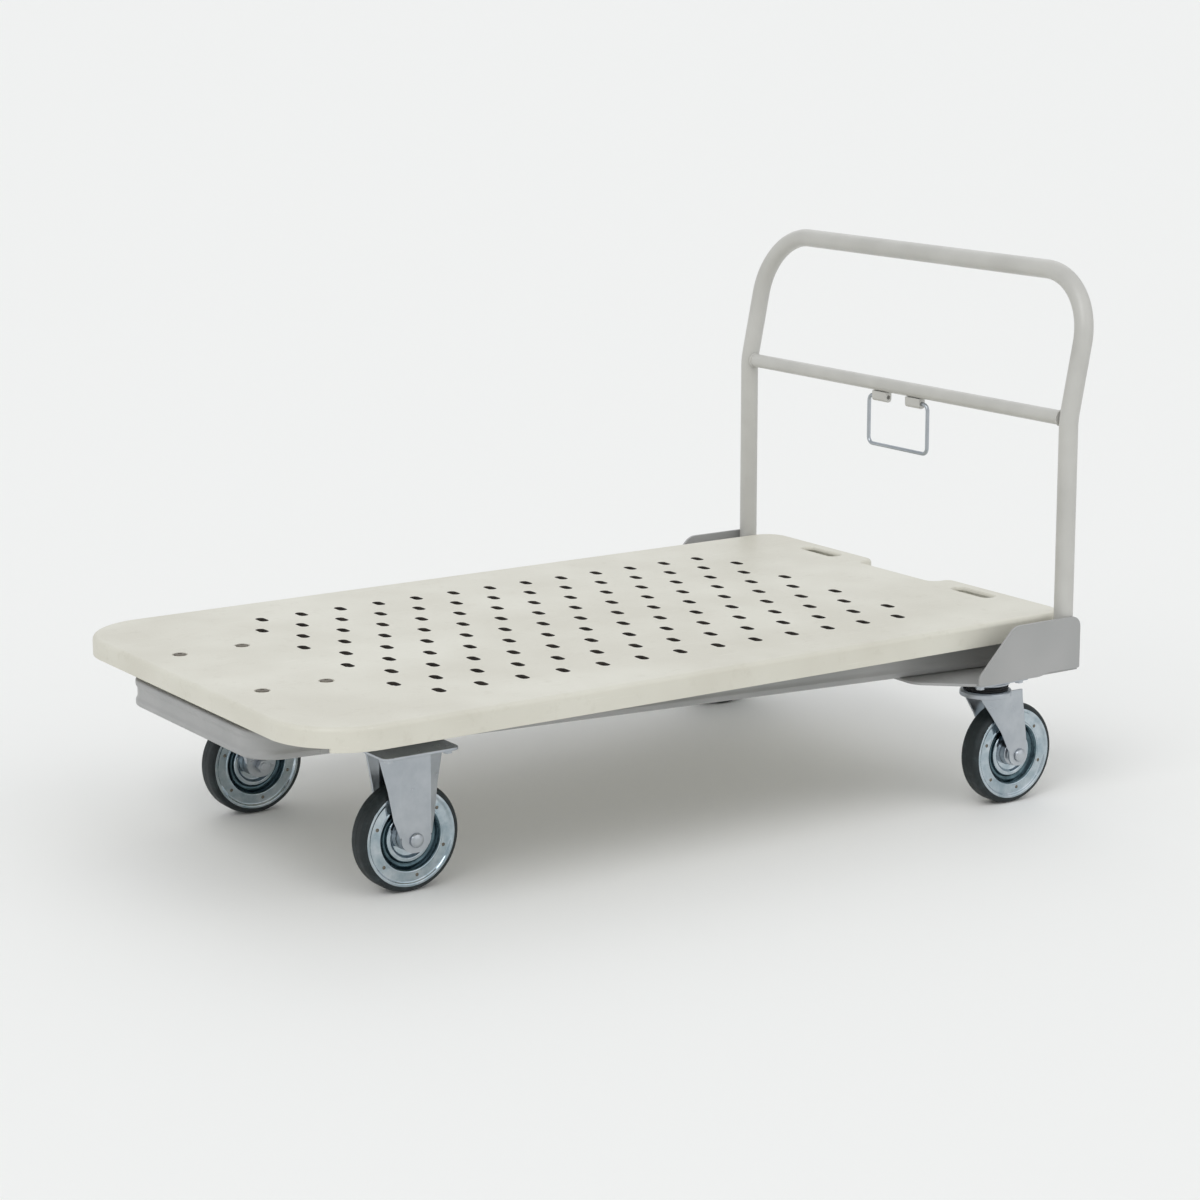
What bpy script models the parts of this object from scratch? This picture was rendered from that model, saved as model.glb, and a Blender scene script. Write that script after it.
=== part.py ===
"""Nesting platform cart: tapered channel frame, lift-up perforated deck, fixed handle, four casters.

Metres, +Z up. The origin is on the floor under the middle of the cart's bounding box.
+Y runs from the deck's front edge to the handle, +X to the right-hand side.
"""
import math

import bmesh
import bpy
from mathutils import Matrix, Vector

# Clearances
GAP = 0.0003                 # between touching pieces
RUNNING = 0.0004             # round turning shafts
MERGE = 0.00001              # points closer than this are one

# Deck
DECK_LENGTH = 1.270
DECK_WIDTH = 0.722
DECK_SKIRT = 0.033           # height of the rim round the deck
DECK_OVER_FRAME = 0.004      # gap between the rim and the frame
FRONT_RIM_CUT = 0.006        # how much shallower the rim is across the front
FRONT_RIM_REACH = 0.042      # and how far round the corners that goes
DECK_RIM_SPLIT = 0.0001      # tolerance for finding the rim's edges
DECK_PLATE = 0.005
DECK_WALL = 0.0035
DECK_EDGE_ROUND = 0.006
FRONT_CORNER = 0.105
REAR_CORNER = 0.040
RECESS_WIDTH = 0.180         # notch in the rear edge, where the bail hangs through
RECESS_DEPTH = 0.034
RECESS_ROUND = 0.014
RIB_THICKNESS = 0.003
RIB_DEPTH = 0.022
RIB_SINK = 0.001             # how far ribs run up into the plate
CUT_OVER = 0.004             # how far cutters run past a surface

# Drain hole pattern: staggered rows of short ovals
HOLE_LENGTH = 0.023
HOLE_WIDTH = 0.012
HOLE_ROWS = 9
HOLE_PITCH_X = 0.0625
HOLE_PITCH_Y = 0.065
FIRST_HOLE = 0.254           # from the front edge
LAST_HOLE = 0.230            # least distance of a row's last hole from the rear edge

# Hand slots in the rear of the deck
SLOT_LENGTH = 0.085
SLOT_WIDTH = 0.024
SLOT_X = 0.186
SLOT_FROM_REAR = 0.035

# Frame channel
FRAME_OVER_WHEEL = 0.049
FRAME_HEIGHT = 0.038
FRAME_FLANGE = 0.025
FRAME_SHEET = 0.0025
FRAME_DISH = 0.0025
FRAME_EDGE = 0.0012
FRAME_LIP = 0.006            # plain band along the top and bottom of the channel's face
FRAME_LIP_END = 0.011        # where the dish reaches its full depth
NOSE_SETBACK = 0.010         # nose face behind the deck's front edge
NOSE_SHARE = 0.27            # half width where rail and nose lines meet, as a share of the deck's width
NOSE_ROUND = 0.050
NOSE_RETURN = 0.100          # how far the nose piece runs back before the rails
RAIL_INSIDE_BRACKET = 0.058  # rail's face inside the side bracket at the rear
RAIL_END_SETBACK = 0.012     # rail's rear end ahead of the bracket's

# Deck hinge
HINGE_FROM_FRONT = 0.108
HINGE_TUBE_R = 0.011
HINGE_DROP = 0.052           # hinge axis below the deck's surface
HINGE_X = 0.122
HINGE_BLOCK_WIDTH = 0.044
HINGE_BLOCK_LENGTH = 0.036
HINGE_EAR_LENGTH = 0.128
HINGE_EAR_THICKNESS = 0.008
HINGE_EAR_ROUND = 0.002
HINGE_SHOULDER_ROUND = 0.006
HINGE_BODY_SHARE = 0.8       # rounding of the block's foot, as a share of its half length
DECK_BOLT_PITCH = 0.096
DECK_BOLT_R = 0.004
DECK_BOLT_HEAD_R = 0.009
DECK_BOLT_SINK_R = 0.0105
DECK_BOLT_SINK = 0.0015
DECK_BOLT_TAIL = 0.006
DECK_BOLT_RIM = 0.001
DECK_BOLT_DOME = 0.0022
DECK_BOLT_CROWN = 0.0026
DECK_BOLT_DOME_SHARE = 0.6

# Deck rests
REST_LENGTH = 0.030
REST_WIDTH = 0.018

# Handle
HANDLE_TUBE_R = 0.014
HANDLE_FROM_REAR = 0.034
HANDLE_TOP_OVER_DECK = 0.498   # grip's middle line
HANDLE_BEND_OVER_DECK = 0.291  # bend and middle rail
HANDLE_LEAN = math.radians(11.7)
HANDLE_BEND_R = 0.100
HANDLE_CORNER_R = 0.100
RAIL_TUBE_R = 0.0108
BRACKET_PLATE = 0.004
HANDLE_CLEAR_OF_DECK = 0.0087

# Bail
BAIL_WIRE_R = 0.003
BAIL_WIDTH = 0.141
BAIL_DROP = 0.077
BAIL_CORNER_R = 0.010
LUG_X = 0.040
LUG_LENGTH = 0.034
LUG_WIDTH = 0.012
LUG_HEIGHT = 0.016

# Side brackets
BRACKET_FRONT_FROM_REAR = 0.209
BRACKET_REAR_FROM_REAR = 0.016
BRACKET_ABOVE_DECK = 0.002
BRACKET_NOSE_HEIGHT = 0.014
BRACKET_SLOPE_RUN = 0.066
BRACKET_ROUND = 0.014
BRACKET_FOOT_ROUND = 0.003
BRACKET_NOSE_ROUND = 0.004
BRACKET_SLOPE_ROUND = 0.006

# Wheels
WHEEL_R = 0.075
WHEEL_SIDES = 20
TYRE_WIDTH = 0.034
TYRE_SHOULDER = 0.004
TYRE_WALL = 0.008            # tyre outside the discs
TYRE_SEAT = 0.025            # tyre hidden between the discs
DISC_SHEET = 0.0015
DISC_DISH = 0.005
DISC_STEP = 0.008            # step of a disc inside the tyre's bore
DISC_STEP_RUN = 0.003
HUB_R = 0.018
HUB_LENGTH = 0.050
AXLE_R = 0.006
AXLE_HEAD_R = 0.010
AXLE_HEAD = 0.006
AXLE_NUT = 0.009
AXLE_TAIL = 0.011
AXLE_DOME_SHARE = 0.6

# Casters
FORK_SHEET = 0.003
FORK_INSIDE = 0.054
CASTER_PLATE = 0.004
FRONT_CASTER_OUT = 0.025     # outside the nose's half width
FRONT_CASTER_Y = 0.217
FRONT_PLATE_X = 0.100
FRONT_PLATE_Y = 0.116
RIGID_LEG_TOP = 0.048        # half widths of a front leg at its top and at the axle
RIGID_LEG_TOE = 0.024
TOE_SHARE = 0.9              # rounding of a leg's toe, as a share of its half width
REAR_CASTER_INSIDE = 0.047   # kingpin inside the side bracket
KINGPIN_FROM_REAR = 0.152
TRAIL = 0.042
REAR_PLATE_X = 0.085
REAR_PLATE_Y = 0.100
REAR_PAD = 0.004
REAR_PAD_FROM_REAR = 0.277
REAR_PAD_LIP = 0.028         # pad's front corner outside the rail
KINGPIN_R = 0.006
KINGPIN_HEAD_R = 0.010
KINGPIN_HEAD = 0.006
UPPER_RACE_R = 0.036
UPPER_RACE = 0.008
LOWER_RACE_R = 0.033
LOWER_RACE = 0.006
CROWN_R = 0.038
SWIVEL_LEG_FRONT = 0.030      # reach of a rear leg's top ahead of and behind the kingpin
SWIVEL_LEG_REAR = 0.044
SWIVEL_LEG_TOE = 0.017
SWIVEL_LEG_DROP = 0.012      # straight part at the top of the leading edge
SWIVEL_LEG_DROP_ROUND = 0.008
SWIVEL_KNEE_BACK = 0.006     # leading edge's knee behind the kingpin
SWIVEL_KNEE_UP = 0.030       # and above the axle
SWIVEL_KNEE_ROUND = 0.06

# Places that follow from the sizes above
HOLES_PER_ROW = int((DECK_LENGTH - FIRST_HOLE - LAST_HOLE) / HOLE_PITCH_Y) + 1
NOSE_HALF = NOSE_SHARE * DECK_WIDTH
FRAME_BOTTOM = 2 * WHEEL_R + FRAME_OVER_WHEEL
FRAME_TOP = FRAME_BOTTOM + FRAME_HEIGHT
DECK_TOP = FRAME_TOP + DECK_OVER_FRAME + DECK_SKIRT
HANDLE_TOP = DECK_TOP + HANDLE_TOP_OVER_DECK
HANDLE_BEND = DECK_TOP + HANDLE_BEND_OVER_DECK
HANDLE_FROM_FRONT = DECK_LENGTH - HANDLE_FROM_REAR
BRACKET_FRONT = DECK_LENGTH - BRACKET_FRONT_FROM_REAR
BRACKET_REAR = DECK_LENGTH - BRACKET_REAR_FROM_REAR
FIRST_RIB = FIRST_HOLE + HOLE_PITCH_Y / 4
REST_FROM_FRONT = FIRST_RIB + (HOLES_PER_ROW - 1) // 2 * 2 * HOLE_PITCH_Y   # under the last cross rib
KINGPIN_Y = DECK_LENGTH - KINGPIN_FROM_REAR
REAR_PAD_FRONT = DECK_LENGTH - REAR_PAD_FROM_REAR
DISC_R = WHEEL_R - TYRE_WALL
TYRE_BORE_R = DISC_R - TYRE_SEAT
LEAN_RUN = (HANDLE_TOP - HANDLE_BEND) * math.tan(HANDLE_LEAN)
OVERALL_LENGTH = max(HANDLE_FROM_FRONT + LEAN_RUN + HANDLE_TUBE_R, DECK_LENGTH)
FRONT = -OVERALL_LENGTH / 2
HANDLE_HALF = DECK_WIDTH / 2 + HANDLE_CLEAR_OF_DECK + HANDLE_TUBE_R
BRACKET_INNER = HANDLE_HALF + HANDLE_TUBE_R + GAP
RAIL_SPLAY = (BRACKET_INNER - RAIL_INSIDE_BRACKET - NOSE_HALF) / (BRACKET_REAR - NOSE_SETBACK)
FRONT_CASTER_X = NOSE_HALF + FRONT_CASTER_OUT
REAR_CASTER_X = BRACKET_INNER - REAR_CASTER_INSIDE
DECK_UNDERSIDE = DECK_TOP - DECK_PLATE
HINGE_Z = DECK_TOP - HINGE_DROP
HANDLE_Y = FRONT + HANDLE_FROM_FRONT
BAIL_Z = HANDLE_BEND - RAIL_TUBE_R - GAP - LUG_HEIGHT / 2
PLATE_BOTTOM = FRAME_BOTTOM - GAP - CASTER_PLATE
REAR_PLATE_TOP = FRAME_BOTTOM - GAP - REAR_PAD - GAP


# ---- shape helpers ----

def clear_scene():
    for thing in list(bpy.data.objects):
        bpy.data.objects.remove(thing, do_unlink=True)


def material(name, colour, roughness, metallic=0.0):
    made = bpy.data.materials.new(name)
    made.use_nodes = True
    shader = made.node_tree.nodes["Principled BSDF"]
    shader.inputs["Base Color"].default_value = (*colour, 1.0)
    shader.inputs["Roughness"].default_value = roughness
    shader.inputs["Metallic"].default_value = metallic
    return made


def finish(name, bm, surface, origin=(0, 0, 0)):
    """Make a named object whose origin lies at the given world point."""
    bmesh.ops.recalc_face_normals(bm, faces=bm.faces)
    mesh = bpy.data.meshes.new(name)
    bmesh.ops.translate(bm, verts=bm.verts, vec=-Vector(origin))
    bm.to_mesh(mesh)
    bm.free()
    thing = bpy.data.objects.new(name, mesh)
    thing.location = origin
    thing.data.materials.append(surface)
    bpy.context.scene.collection.objects.link(thing)
    thing.data.shade_smooth()
    thing.data.set_sharp_from_angle(angle=math.radians(35))
    return thing


def box_mesh(low, high):
    bm = bmesh.new()
    low, high = Vector(low), Vector(high)
    size = Matrix.Diagonal((*(high - low), 1))
    bmesh.ops.create_cube(bm, size=1, matrix=Matrix.Translation((low + high) / 2) @ size)
    return bm


def prism_mesh(outline, low, high, axis="Z"):
    """Extrude a closed outline along an axis: XY points for Z, YZ points for X."""
    bm = bmesh.new()
    place = (lambda a, b: (a, b, low)) if axis == "Z" else (lambda a, b: (low, a, b))
    face = bm.faces.new([bm.verts.new(place(a, b)) for a, b in outline])
    made = bmesh.ops.extrude_face_region(bm, geom=[face])
    step = (0, 0, high - low) if axis == "Z" else (high - low, 0, 0)
    corners = [item for item in made["geom"] if isinstance(item, bmesh.types.BMVert)]
    bmesh.ops.translate(bm, verts=corners, vec=step)
    return bm


def turned_mesh(profile, centre, segments, axis="X"):
    """Turn a closed profile of (distance along, radius) points about an axis."""
    bm = bmesh.new()
    verts = [bm.verts.new((along, 0, radius)) for along, radius in profile]
    edges = [bm.edges.new((verts[i], verts[(i + 1) % len(verts)])) for i in range(len(verts))]
    bmesh.ops.spin(
        bm, geom=verts + edges, cent=(0, 0, 0), axis=(1, 0, 0),
        angle=math.tau, steps=segments, use_merge=True,
    )
    bmesh.ops.remove_doubles(bm, verts=bm.verts, dist=MERGE)
    if axis == "Z":
        bmesh.ops.rotate(bm, verts=bm.verts, cent=(0, 0, 0), matrix=Matrix.Rotation(-math.pi / 2, 3, "Y"))
    bmesh.ops.translate(bm, verts=bm.verts, vec=centre)
    return bm


def rod_mesh(centre, radius, low, high, segments=16, axis="X"):
    return turned_mesh([(low, 0), (low, radius), (high, radius), (high, 0)], centre, segments, axis)


def filleted(corners):
    """Round the corners of a closed outline; each corner is (x, y, radius, steps)."""
    outline = []
    count = len(corners)
    for index, (x, y, radius, steps) in enumerate(corners):
        here = Vector((x, y))
        before = (Vector(corners[index - 1][:2]) - here).normalized()
        after = (Vector(corners[(index + 1) % count][:2]) - here).normalized()
        if radius <= 0:
            outline.append(here)
            continue
        half = before.angle(after) / 2
        bisector = (before + after).normalized()
        centre = here + bisector * (radius / math.sin(half))
        start = here + before * (radius / math.tan(half)) - centre
        end = here + after * (radius / math.tan(half)) - centre
        sweep = start.angle_signed(end)
        for step in range(steps + 1):
            turn = -sweep * step / steps
            outline.append(centre + Matrix.Rotation(turn, 2) @ start)
    return outline


def stadium(x, y, length, width, steps=3):
    """Oval outline with its length along X."""
    run = (length - width) / 2
    points = []
    for side in (1, -1):
        for step in range(steps + 1):
            turn = math.pi * (step / steps - 0.5)
            out = run + width / 2 * math.cos(turn)
            points.append((x + side * out, y + side * width / 2 * math.sin(turn)))
    return points


def joined(meshes):
    """Put several loose meshes into one, for use as a cutter."""
    whole = bmesh.new()
    for part in meshes:
        spare = bpy.data.meshes.new("spare")
        part.to_mesh(spare)
        part.free()
        whole.from_mesh(spare)
        bpy.data.meshes.remove(spare)
    return whole


def combine(thing, bm, operation):
    """Apply a Boolean with a temporary object and remove it."""
    tool = finish(thing.name + "_tool", bm, thing.data.materials[0])
    tool.hide_render = True
    tool.display_type = "WIRE"
    change = thing.modifiers.new(operation.title(), "BOOLEAN")
    change.operation = operation
    change.solver = "EXACT"
    change.object = tool
    bpy.context.view_layer.update()
    result = bpy.data.meshes.new_from_object(thing.evaluated_get(bpy.context.evaluated_depsgraph_get()))
    thing.modifiers.clear()
    old = thing.data
    thing.data = result
    bpy.data.meshes.remove(old)
    bpy.data.objects.remove(tool, do_unlink=True)
    return thing


def cut(thing, bm):
    return combine(thing, bm, "DIFFERENCE")


def weld(thing, bm):
    return combine(thing, bm, "UNION")


def mirrored(points, side):
    return [(side * x, y) for x, y in points]


# ---- frame ----

def rail_x(from_front):
    """Outer face of a side rail at a distance from the deck's front edge."""
    return NOSE_HALF + RAIL_SPLAY * (from_front - NOSE_SETBACK)


def channel_profile():
    """Section of the frame channel: distance outward from its face line, and height."""
    low, high, edge = FRAME_BOTTOM, FRAME_TOP, FRAME_EDGE
    return [
        (-edge, low), (0, low + edge), (0, low + FRAME_LIP), (-FRAME_DISH, low + FRAME_LIP_END),
        (-FRAME_DISH, high - FRAME_LIP_END), (0, high - FRAME_LIP), (0, high - edge), (-edge, high),
        (-FRAME_FLANGE, high), (-FRAME_FLANGE, high - FRAME_SHEET),
        (-FRAME_DISH - FRAME_SHEET, high - FRAME_SHEET), (-FRAME_DISH - FRAME_SHEET, low + FRAME_SHEET),
        (-FRAME_FLANGE, low + FRAME_SHEET), (-FRAME_FLANGE, low),
    ]


def channel(name, path, surface):
    """Sweep the channel section along a flat path whose left side is the outside."""
    bm = bmesh.new()
    points = [Vector(point) for point in path]
    rings = []
    for index, point in enumerate(points):
        ahead = (points[min(index + 1, len(points) - 1)] - points[min(index, len(points) - 2)]).normalized()
        behind = (points[max(index, 1)] - points[max(index - 1, 0)]).normalized()
        along = (ahead + behind).normalized()
        outward = Vector((-along.y, along.x)) / max(along.dot(ahead), 0.5)
        rings.append([
            bm.verts.new((point.x + outward.x * out, point.y + outward.y * out, height))
            for out, height in channel_profile()
        ])
    size = len(rings[0])
    for first, second in zip(rings, rings[1:]):
        for index in range(size):
            following = (index + 1) % size
            bm.faces.new((first[index], first[following], second[following], second[index]))
    bm.faces.new(rings[0])
    bm.faces.new(rings[-1])
    return finish(name, bm, surface)


def frame_nose(surface):
    far = NOSE_RETURN
    left = (-rail_x(far), FRONT + far)
    right = (rail_x(far), FRONT + far)
    nose_y = FRONT + NOSE_SETBACK
    corners = [
        (*left, 0, 0), (-NOSE_HALF, nose_y, NOSE_ROUND, 6),
        (NOSE_HALF, nose_y, NOSE_ROUND, 6), (*right, 0, 0),
    ]
    path = filleted(corners)
    path.reverse()
    channel("front_nose", path, surface)


def side_rail(name, side, surface):
    near, far = NOSE_RETURN + GAP, BRACKET_REAR - RAIL_END_SETBACK
    path = [(side * rail_x(near), FRONT + near), (side * rail_x(far), FRONT + far)]
    if side > 0:
        path.reverse()
    channel(name, path, surface)


def hinge_tube(surface):
    axis_y = FRONT + HINGE_FROM_FRONT
    reach = rail_x(HINGE_FROM_FRONT - HINGE_TUBE_R) - FRAME_DISH - FRAME_SHEET - 2 * GAP
    bm = rod_mesh((0, axis_y, HINGE_Z), HINGE_TUBE_R, -reach, reach, 20)
    finish("hinge_tube", bm, surface)


def rear_pad(name, side, surface):
    inner = rail_x(REAR_PAD_FRONT) - FRAME_FLANGE
    outline = [
        (inner, FRONT + REAR_PAD_FRONT), (rail_x(REAR_PAD_FRONT) + REAR_PAD_LIP, FRONT + REAR_PAD_FRONT),
        (BRACKET_INNER - GAP, FRONT + BRACKET_FRONT), (BRACKET_INNER - GAP, FRONT + BRACKET_REAR),
        (rail_x(BRACKET_REAR) - FRAME_FLANGE, FRONT + BRACKET_REAR),
    ]
    top = FRAME_BOTTOM - GAP
    finish(name, prism_mesh(mirrored(outline, side), top - REAR_PAD, top), surface)


def side_bracket(name, side, surface):
    low = FRAME_BOTTOM - GAP - REAR_PAD
    high = DECK_TOP + BRACKET_ABOVE_DECK
    front, rear = FRONT + BRACKET_FRONT, FRONT + BRACKET_REAR
    corners = [
        (front, low, BRACKET_FOOT_ROUND, 2), (front, low + BRACKET_NOSE_HEIGHT, BRACKET_NOSE_ROUND, 2),
        (front + BRACKET_SLOPE_RUN, high, BRACKET_SLOPE_ROUND, 2), (rear, high, BRACKET_ROUND, 4),
        (rear, low, BRACKET_FOOT_ROUND, 2),
    ]
    edges = sorted((side * BRACKET_INNER, side * (BRACKET_INNER + BRACKET_PLATE)))
    finish(name, prism_mesh(filleted(corners), *edges, axis="X"), surface)


def deck_rest(name, side, surface):
    middle = side * (rail_x(REST_FROM_FRONT) - FRAME_FLANGE / 2)
    y = FRONT + REST_FROM_FRONT
    low = (middle - REST_WIDTH / 2, y - REST_LENGTH / 2, FRAME_TOP + GAP)
    high = (middle + REST_WIDTH / 2, y + REST_LENGTH / 2, DECK_UNDERSIDE - RIB_DEPTH - GAP)
    finish(name, box_mesh(low, high), surface)


# ---- handle and bail ----

def handle_route():
    """Middle line of the handle tube, left foot to right foot."""
    up = Vector((0, 0, 1))
    lean = Vector((0, math.sin(HANDLE_LEAN), math.cos(HANDLE_LEAN)))
    half = []
    reach = HANDLE_BEND_R * math.tan(HANDLE_LEAN / 2)
    bend = Vector((-HANDLE_HALF, HANDLE_Y, HANDLE_BEND))
    half.append(Vector((-HANDLE_HALF, HANDLE_Y, FRAME_BOTTOM + GAP)))
    for step in range(5):
        turn = HANDLE_LEAN * step / 4
        start = bend - up * reach
        offset = Vector((0, 1 - math.cos(turn), math.sin(turn))) * HANDLE_BEND_R
        half.append(start + offset)
    height = (HANDLE_TOP - HANDLE_BEND) / math.cos(HANDLE_LEAN)
    corner = bend + lean * height
    centre = corner - lean * HANDLE_CORNER_R + Vector((HANDLE_CORNER_R, 0, 0))
    for step in range(8):
        turn = math.pi / 2 * step / 7
        sideways = Vector((-math.cos(turn), 0, 0))
        half.append(centre + (lean * math.sin(turn) + sideways) * HANDLE_CORNER_R)
    other = [Vector((-point.x, point.y, point.z)) for point in reversed(half)]
    return half + other


def tube_object(name, route, radius, resolution, surface, origin=(0, 0, 0)):
    curve = bpy.data.curves.new(name, "CURVE")
    curve.dimensions = "3D"
    curve.bevel_depth = radius
    curve.bevel_resolution = resolution
    curve.render_resolution_u = 0
    curve.use_fill_caps = True
    spline = curve.splines.new("POLY")
    spline.points.add(len(route) - 1)
    for knot, point in zip(spline.points, route):
        knot.co = (*(Vector(point) - Vector(origin)), 1)
    curve.materials.append(surface)
    thing = bpy.data.objects.new(name, curve)
    thing.location = origin
    bpy.context.scene.collection.objects.link(thing)
    return thing


def middle_rail(surface):
    reach = HANDLE_HALF - HANDLE_TUBE_R - GAP
    bm = rod_mesh((0, HANDLE_Y, HANDLE_BEND), RAIL_TUBE_R, -reach, reach, 14)
    finish("middle_rail", bm, surface)


def bail_lug(name, side, surface):
    top = HANDLE_BEND - RAIL_TUBE_R - GAP
    low = (side * LUG_X - LUG_LENGTH / 2, HANDLE_Y - LUG_WIDTH / 2, top - LUG_HEIGHT)
    high = (side * LUG_X + LUG_LENGTH / 2, HANDLE_Y + LUG_WIDTH / 2, top)
    lug = finish(name, box_mesh(low, high), surface)
    bore = rod_mesh((side * LUG_X, HANDLE_Y, BAIL_Z), BAIL_WIRE_R + RUNNING, -LUG_LENGTH, LUG_LENGTH, 12)
    cut(lug, bore)


def wire_bail(surface):
    """Wire loop: inward ends in the lugs, two legs and a bottom bar."""
    half = BAIL_WIDTH / 2
    end = LUG_X - LUG_LENGTH / 4
    bottom = BAIL_Z - BAIL_DROP
    half_route = [(-end, BAIL_Z)]
    for corner, first in (((-half, BAIL_Z), 1), ((-half, bottom), 2)):
        for step in range(4):
            turn = math.pi / 2 * (step / 3 + first)
            centre_z = corner[1] + (-BAIL_CORNER_R if first == 1 else BAIL_CORNER_R)
            x = corner[0] + BAIL_CORNER_R + BAIL_CORNER_R * math.cos(turn)
            half_route.append((x, centre_z + BAIL_CORNER_R * math.sin(turn)))
    route = [(x, HANDLE_Y, z) for x, z in half_route]
    route += [(-x, HANDLE_Y, z) for x, z in reversed(half_route)]
    tube_object("wire_bail", route, BAIL_WIRE_R, 2, surface, (0, HANDLE_Y, BAIL_Z))


# ---- deck ----

def deck_outline(inset, steps):
    half = DECK_WIDTH / 2 - inset
    front = FRONT + inset
    rear = FRONT + DECK_LENGTH - inset
    notch = RECESS_WIDTH / 2 + inset
    notch_y = FRONT + DECK_LENGTH - RECESS_DEPTH - inset
    corner, back = FRONT_CORNER - inset, REAR_CORNER - inset
    tip, root = RECESS_ROUND - inset, RECESS_ROUND + inset
    small = max(steps // 2, 2)
    right = [
        (half, front, corner, steps), (half, rear, back, small),
        (notch, rear, tip, small), (notch, notch_y, root, small),
    ]
    left = [(-x, y, radius, count) for x, y, radius, count in reversed(right)]
    return filleted(right + left)


def deck_holes(low, high):
    """Cutters for the staggered drain holes."""
    cutters = []
    for row in range(HOLE_ROWS):
        x = (row - (HOLE_ROWS - 1) / 2) * HOLE_PITCH_X
        longer = row % 2
        for index in range(HOLES_PER_ROW + longer):
            y = FRONT + FIRST_HOLE + (index - longer / 2) * HOLE_PITCH_Y
            cutters.append(prism_mesh(stadium(x, y, HOLE_LENGTH, HOLE_WIDTH), low, high))
    return joined(cutters)


def deck_ribs(deck):
    top = DECK_UNDERSIDE + RIB_SINK
    low = DECK_UNDERSIDE - RIB_DEPTH
    reach = DECK_WIDTH / 2 - DECK_WALL / 2
    half = RIB_THICKNESS / 2
    first_y = FRONT + FIRST_RIB
    last_y = first_y + (HOLES_PER_ROW - 1) * HOLE_PITCH_Y
    for index in range(0, HOLES_PER_ROW, 2):
        y = first_y + index * HOLE_PITCH_Y
        weld(deck, box_mesh((-reach, y - half, low), (reach, y + half, top)))
    for row in (1.5, 3.5):
        for side in (-1, 1):
            x = side * row * HOLE_PITCH_X
            weld(deck, box_mesh((x - half, first_y, low), (x + half, last_y, top)))


def deck_bolt_places():
    for side in (-1, 1):
        for end in (-1, 1):
            yield side * HINGE_X, FRONT + HINGE_FROM_FRONT + end * DECK_BOLT_PITCH / 2


def moulded_deck(surface):
    bottom = DECK_TOP - DECK_SKIRT
    bm = prism_mesh(deck_outline(0, 7), bottom, DECK_TOP)
    rim = [edge for edge in bm.edges if all(vert.co.z > DECK_TOP - DECK_RIM_SPLIT for vert in edge.verts)]
    bmesh.ops.bevel(
        bm, geom=rim, offset=DECK_EDGE_ROUND, segments=2, profile=0.5, affect="EDGES", material=-1,
    )
    hinge = (0, FRONT + HINGE_FROM_FRONT, HINGE_Z)
    deck = finish("deck", bm, surface)
    cut(deck, prism_mesh(deck_outline(DECK_WALL, 7), bottom - CUT_OVER, DECK_UNDERSIDE))
    half = DECK_WIDTH / 2
    front_low = (-half, FRONT - CUT_OVER, bottom - CUT_OVER)
    cut(deck, box_mesh(front_low, (half, FRONT + FRONT_RIM_REACH, bottom + FRONT_RIM_CUT)))
    deck_ribs(deck)
    cut(deck, deck_holes(DECK_UNDERSIDE - CUT_OVER, DECK_TOP + CUT_OVER))
    slots = []
    slot_y = FRONT + DECK_LENGTH - SLOT_FROM_REAR
    for side in (-1, 1):
        outline = stadium(side * SLOT_X, slot_y, SLOT_LENGTH, SLOT_WIDTH, 4)
        slots.append(prism_mesh(outline, DECK_UNDERSIDE - CUT_OVER, DECK_TOP + CUT_OVER))
    for x, y in deck_bolt_places():
        shank = DECK_BOLT_R + GAP
        low, seat, high = DECK_UNDERSIDE - CUT_OVER, DECK_TOP - DECK_BOLT_SINK, DECK_TOP + CUT_OVER
        steps = [
            (low, 0), (low, shank), (seat, shank),
            (seat, DECK_BOLT_SINK_R), (high, DECK_BOLT_SINK_R), (high, 0),
        ]
        slots.append(turned_mesh(steps, (x, y, 0), 12, "Z"))
    cut(deck, joined(slots))
    deck.data.transform(Matrix.Translation(-Vector(hinge)))
    deck.location = hinge
    deck.data.shade_smooth()
    deck.data.set_sharp_from_angle(angle=math.radians(35))


def hinge_block(name, side, surface):
    x, y = side * HINGE_X, FRONT + HINGE_FROM_FRONT
    half, top = HINGE_BLOCK_WIDTH / 2, DECK_UNDERSIDE - GAP
    ear, body = HINGE_EAR_LENGTH / 2, HINGE_BLOCK_LENGTH / 2
    shoulder, low = top - HINGE_EAR_THICKNESS, HINGE_Z - body
    ear_round, shoulder_round, foot = HINGE_EAR_ROUND, HINGE_SHOULDER_ROUND, body * HINGE_BODY_SHARE
    corners = [
        (y - ear, top, 0, 0), (y + ear, top, 0, 0), (y + ear, shoulder, ear_round, 2),
        (y + body, shoulder, shoulder_round, 3), (y + body, low, foot, 5), (y - body, low, foot, 5),
        (y - body, shoulder, shoulder_round, 3), (y - ear, shoulder, ear_round, 2),
    ]
    block = finish(name, prism_mesh(filleted(corners), x - half, x + half, "X"), surface)
    cutters = [rod_mesh((x, y, HINGE_Z), HINGE_TUBE_R + RUNNING, -half - CUT_OVER, half + CUT_OVER, 20)]
    for end in (-1, 1):
        place = (x, y + end * DECK_BOLT_PITCH / 2, 0)
        cutters.append(rod_mesh(place, DECK_BOLT_R + GAP, shoulder - CUT_OVER, top + CUT_OVER, 12, "Z"))
    cut(block, joined(cutters))


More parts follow.
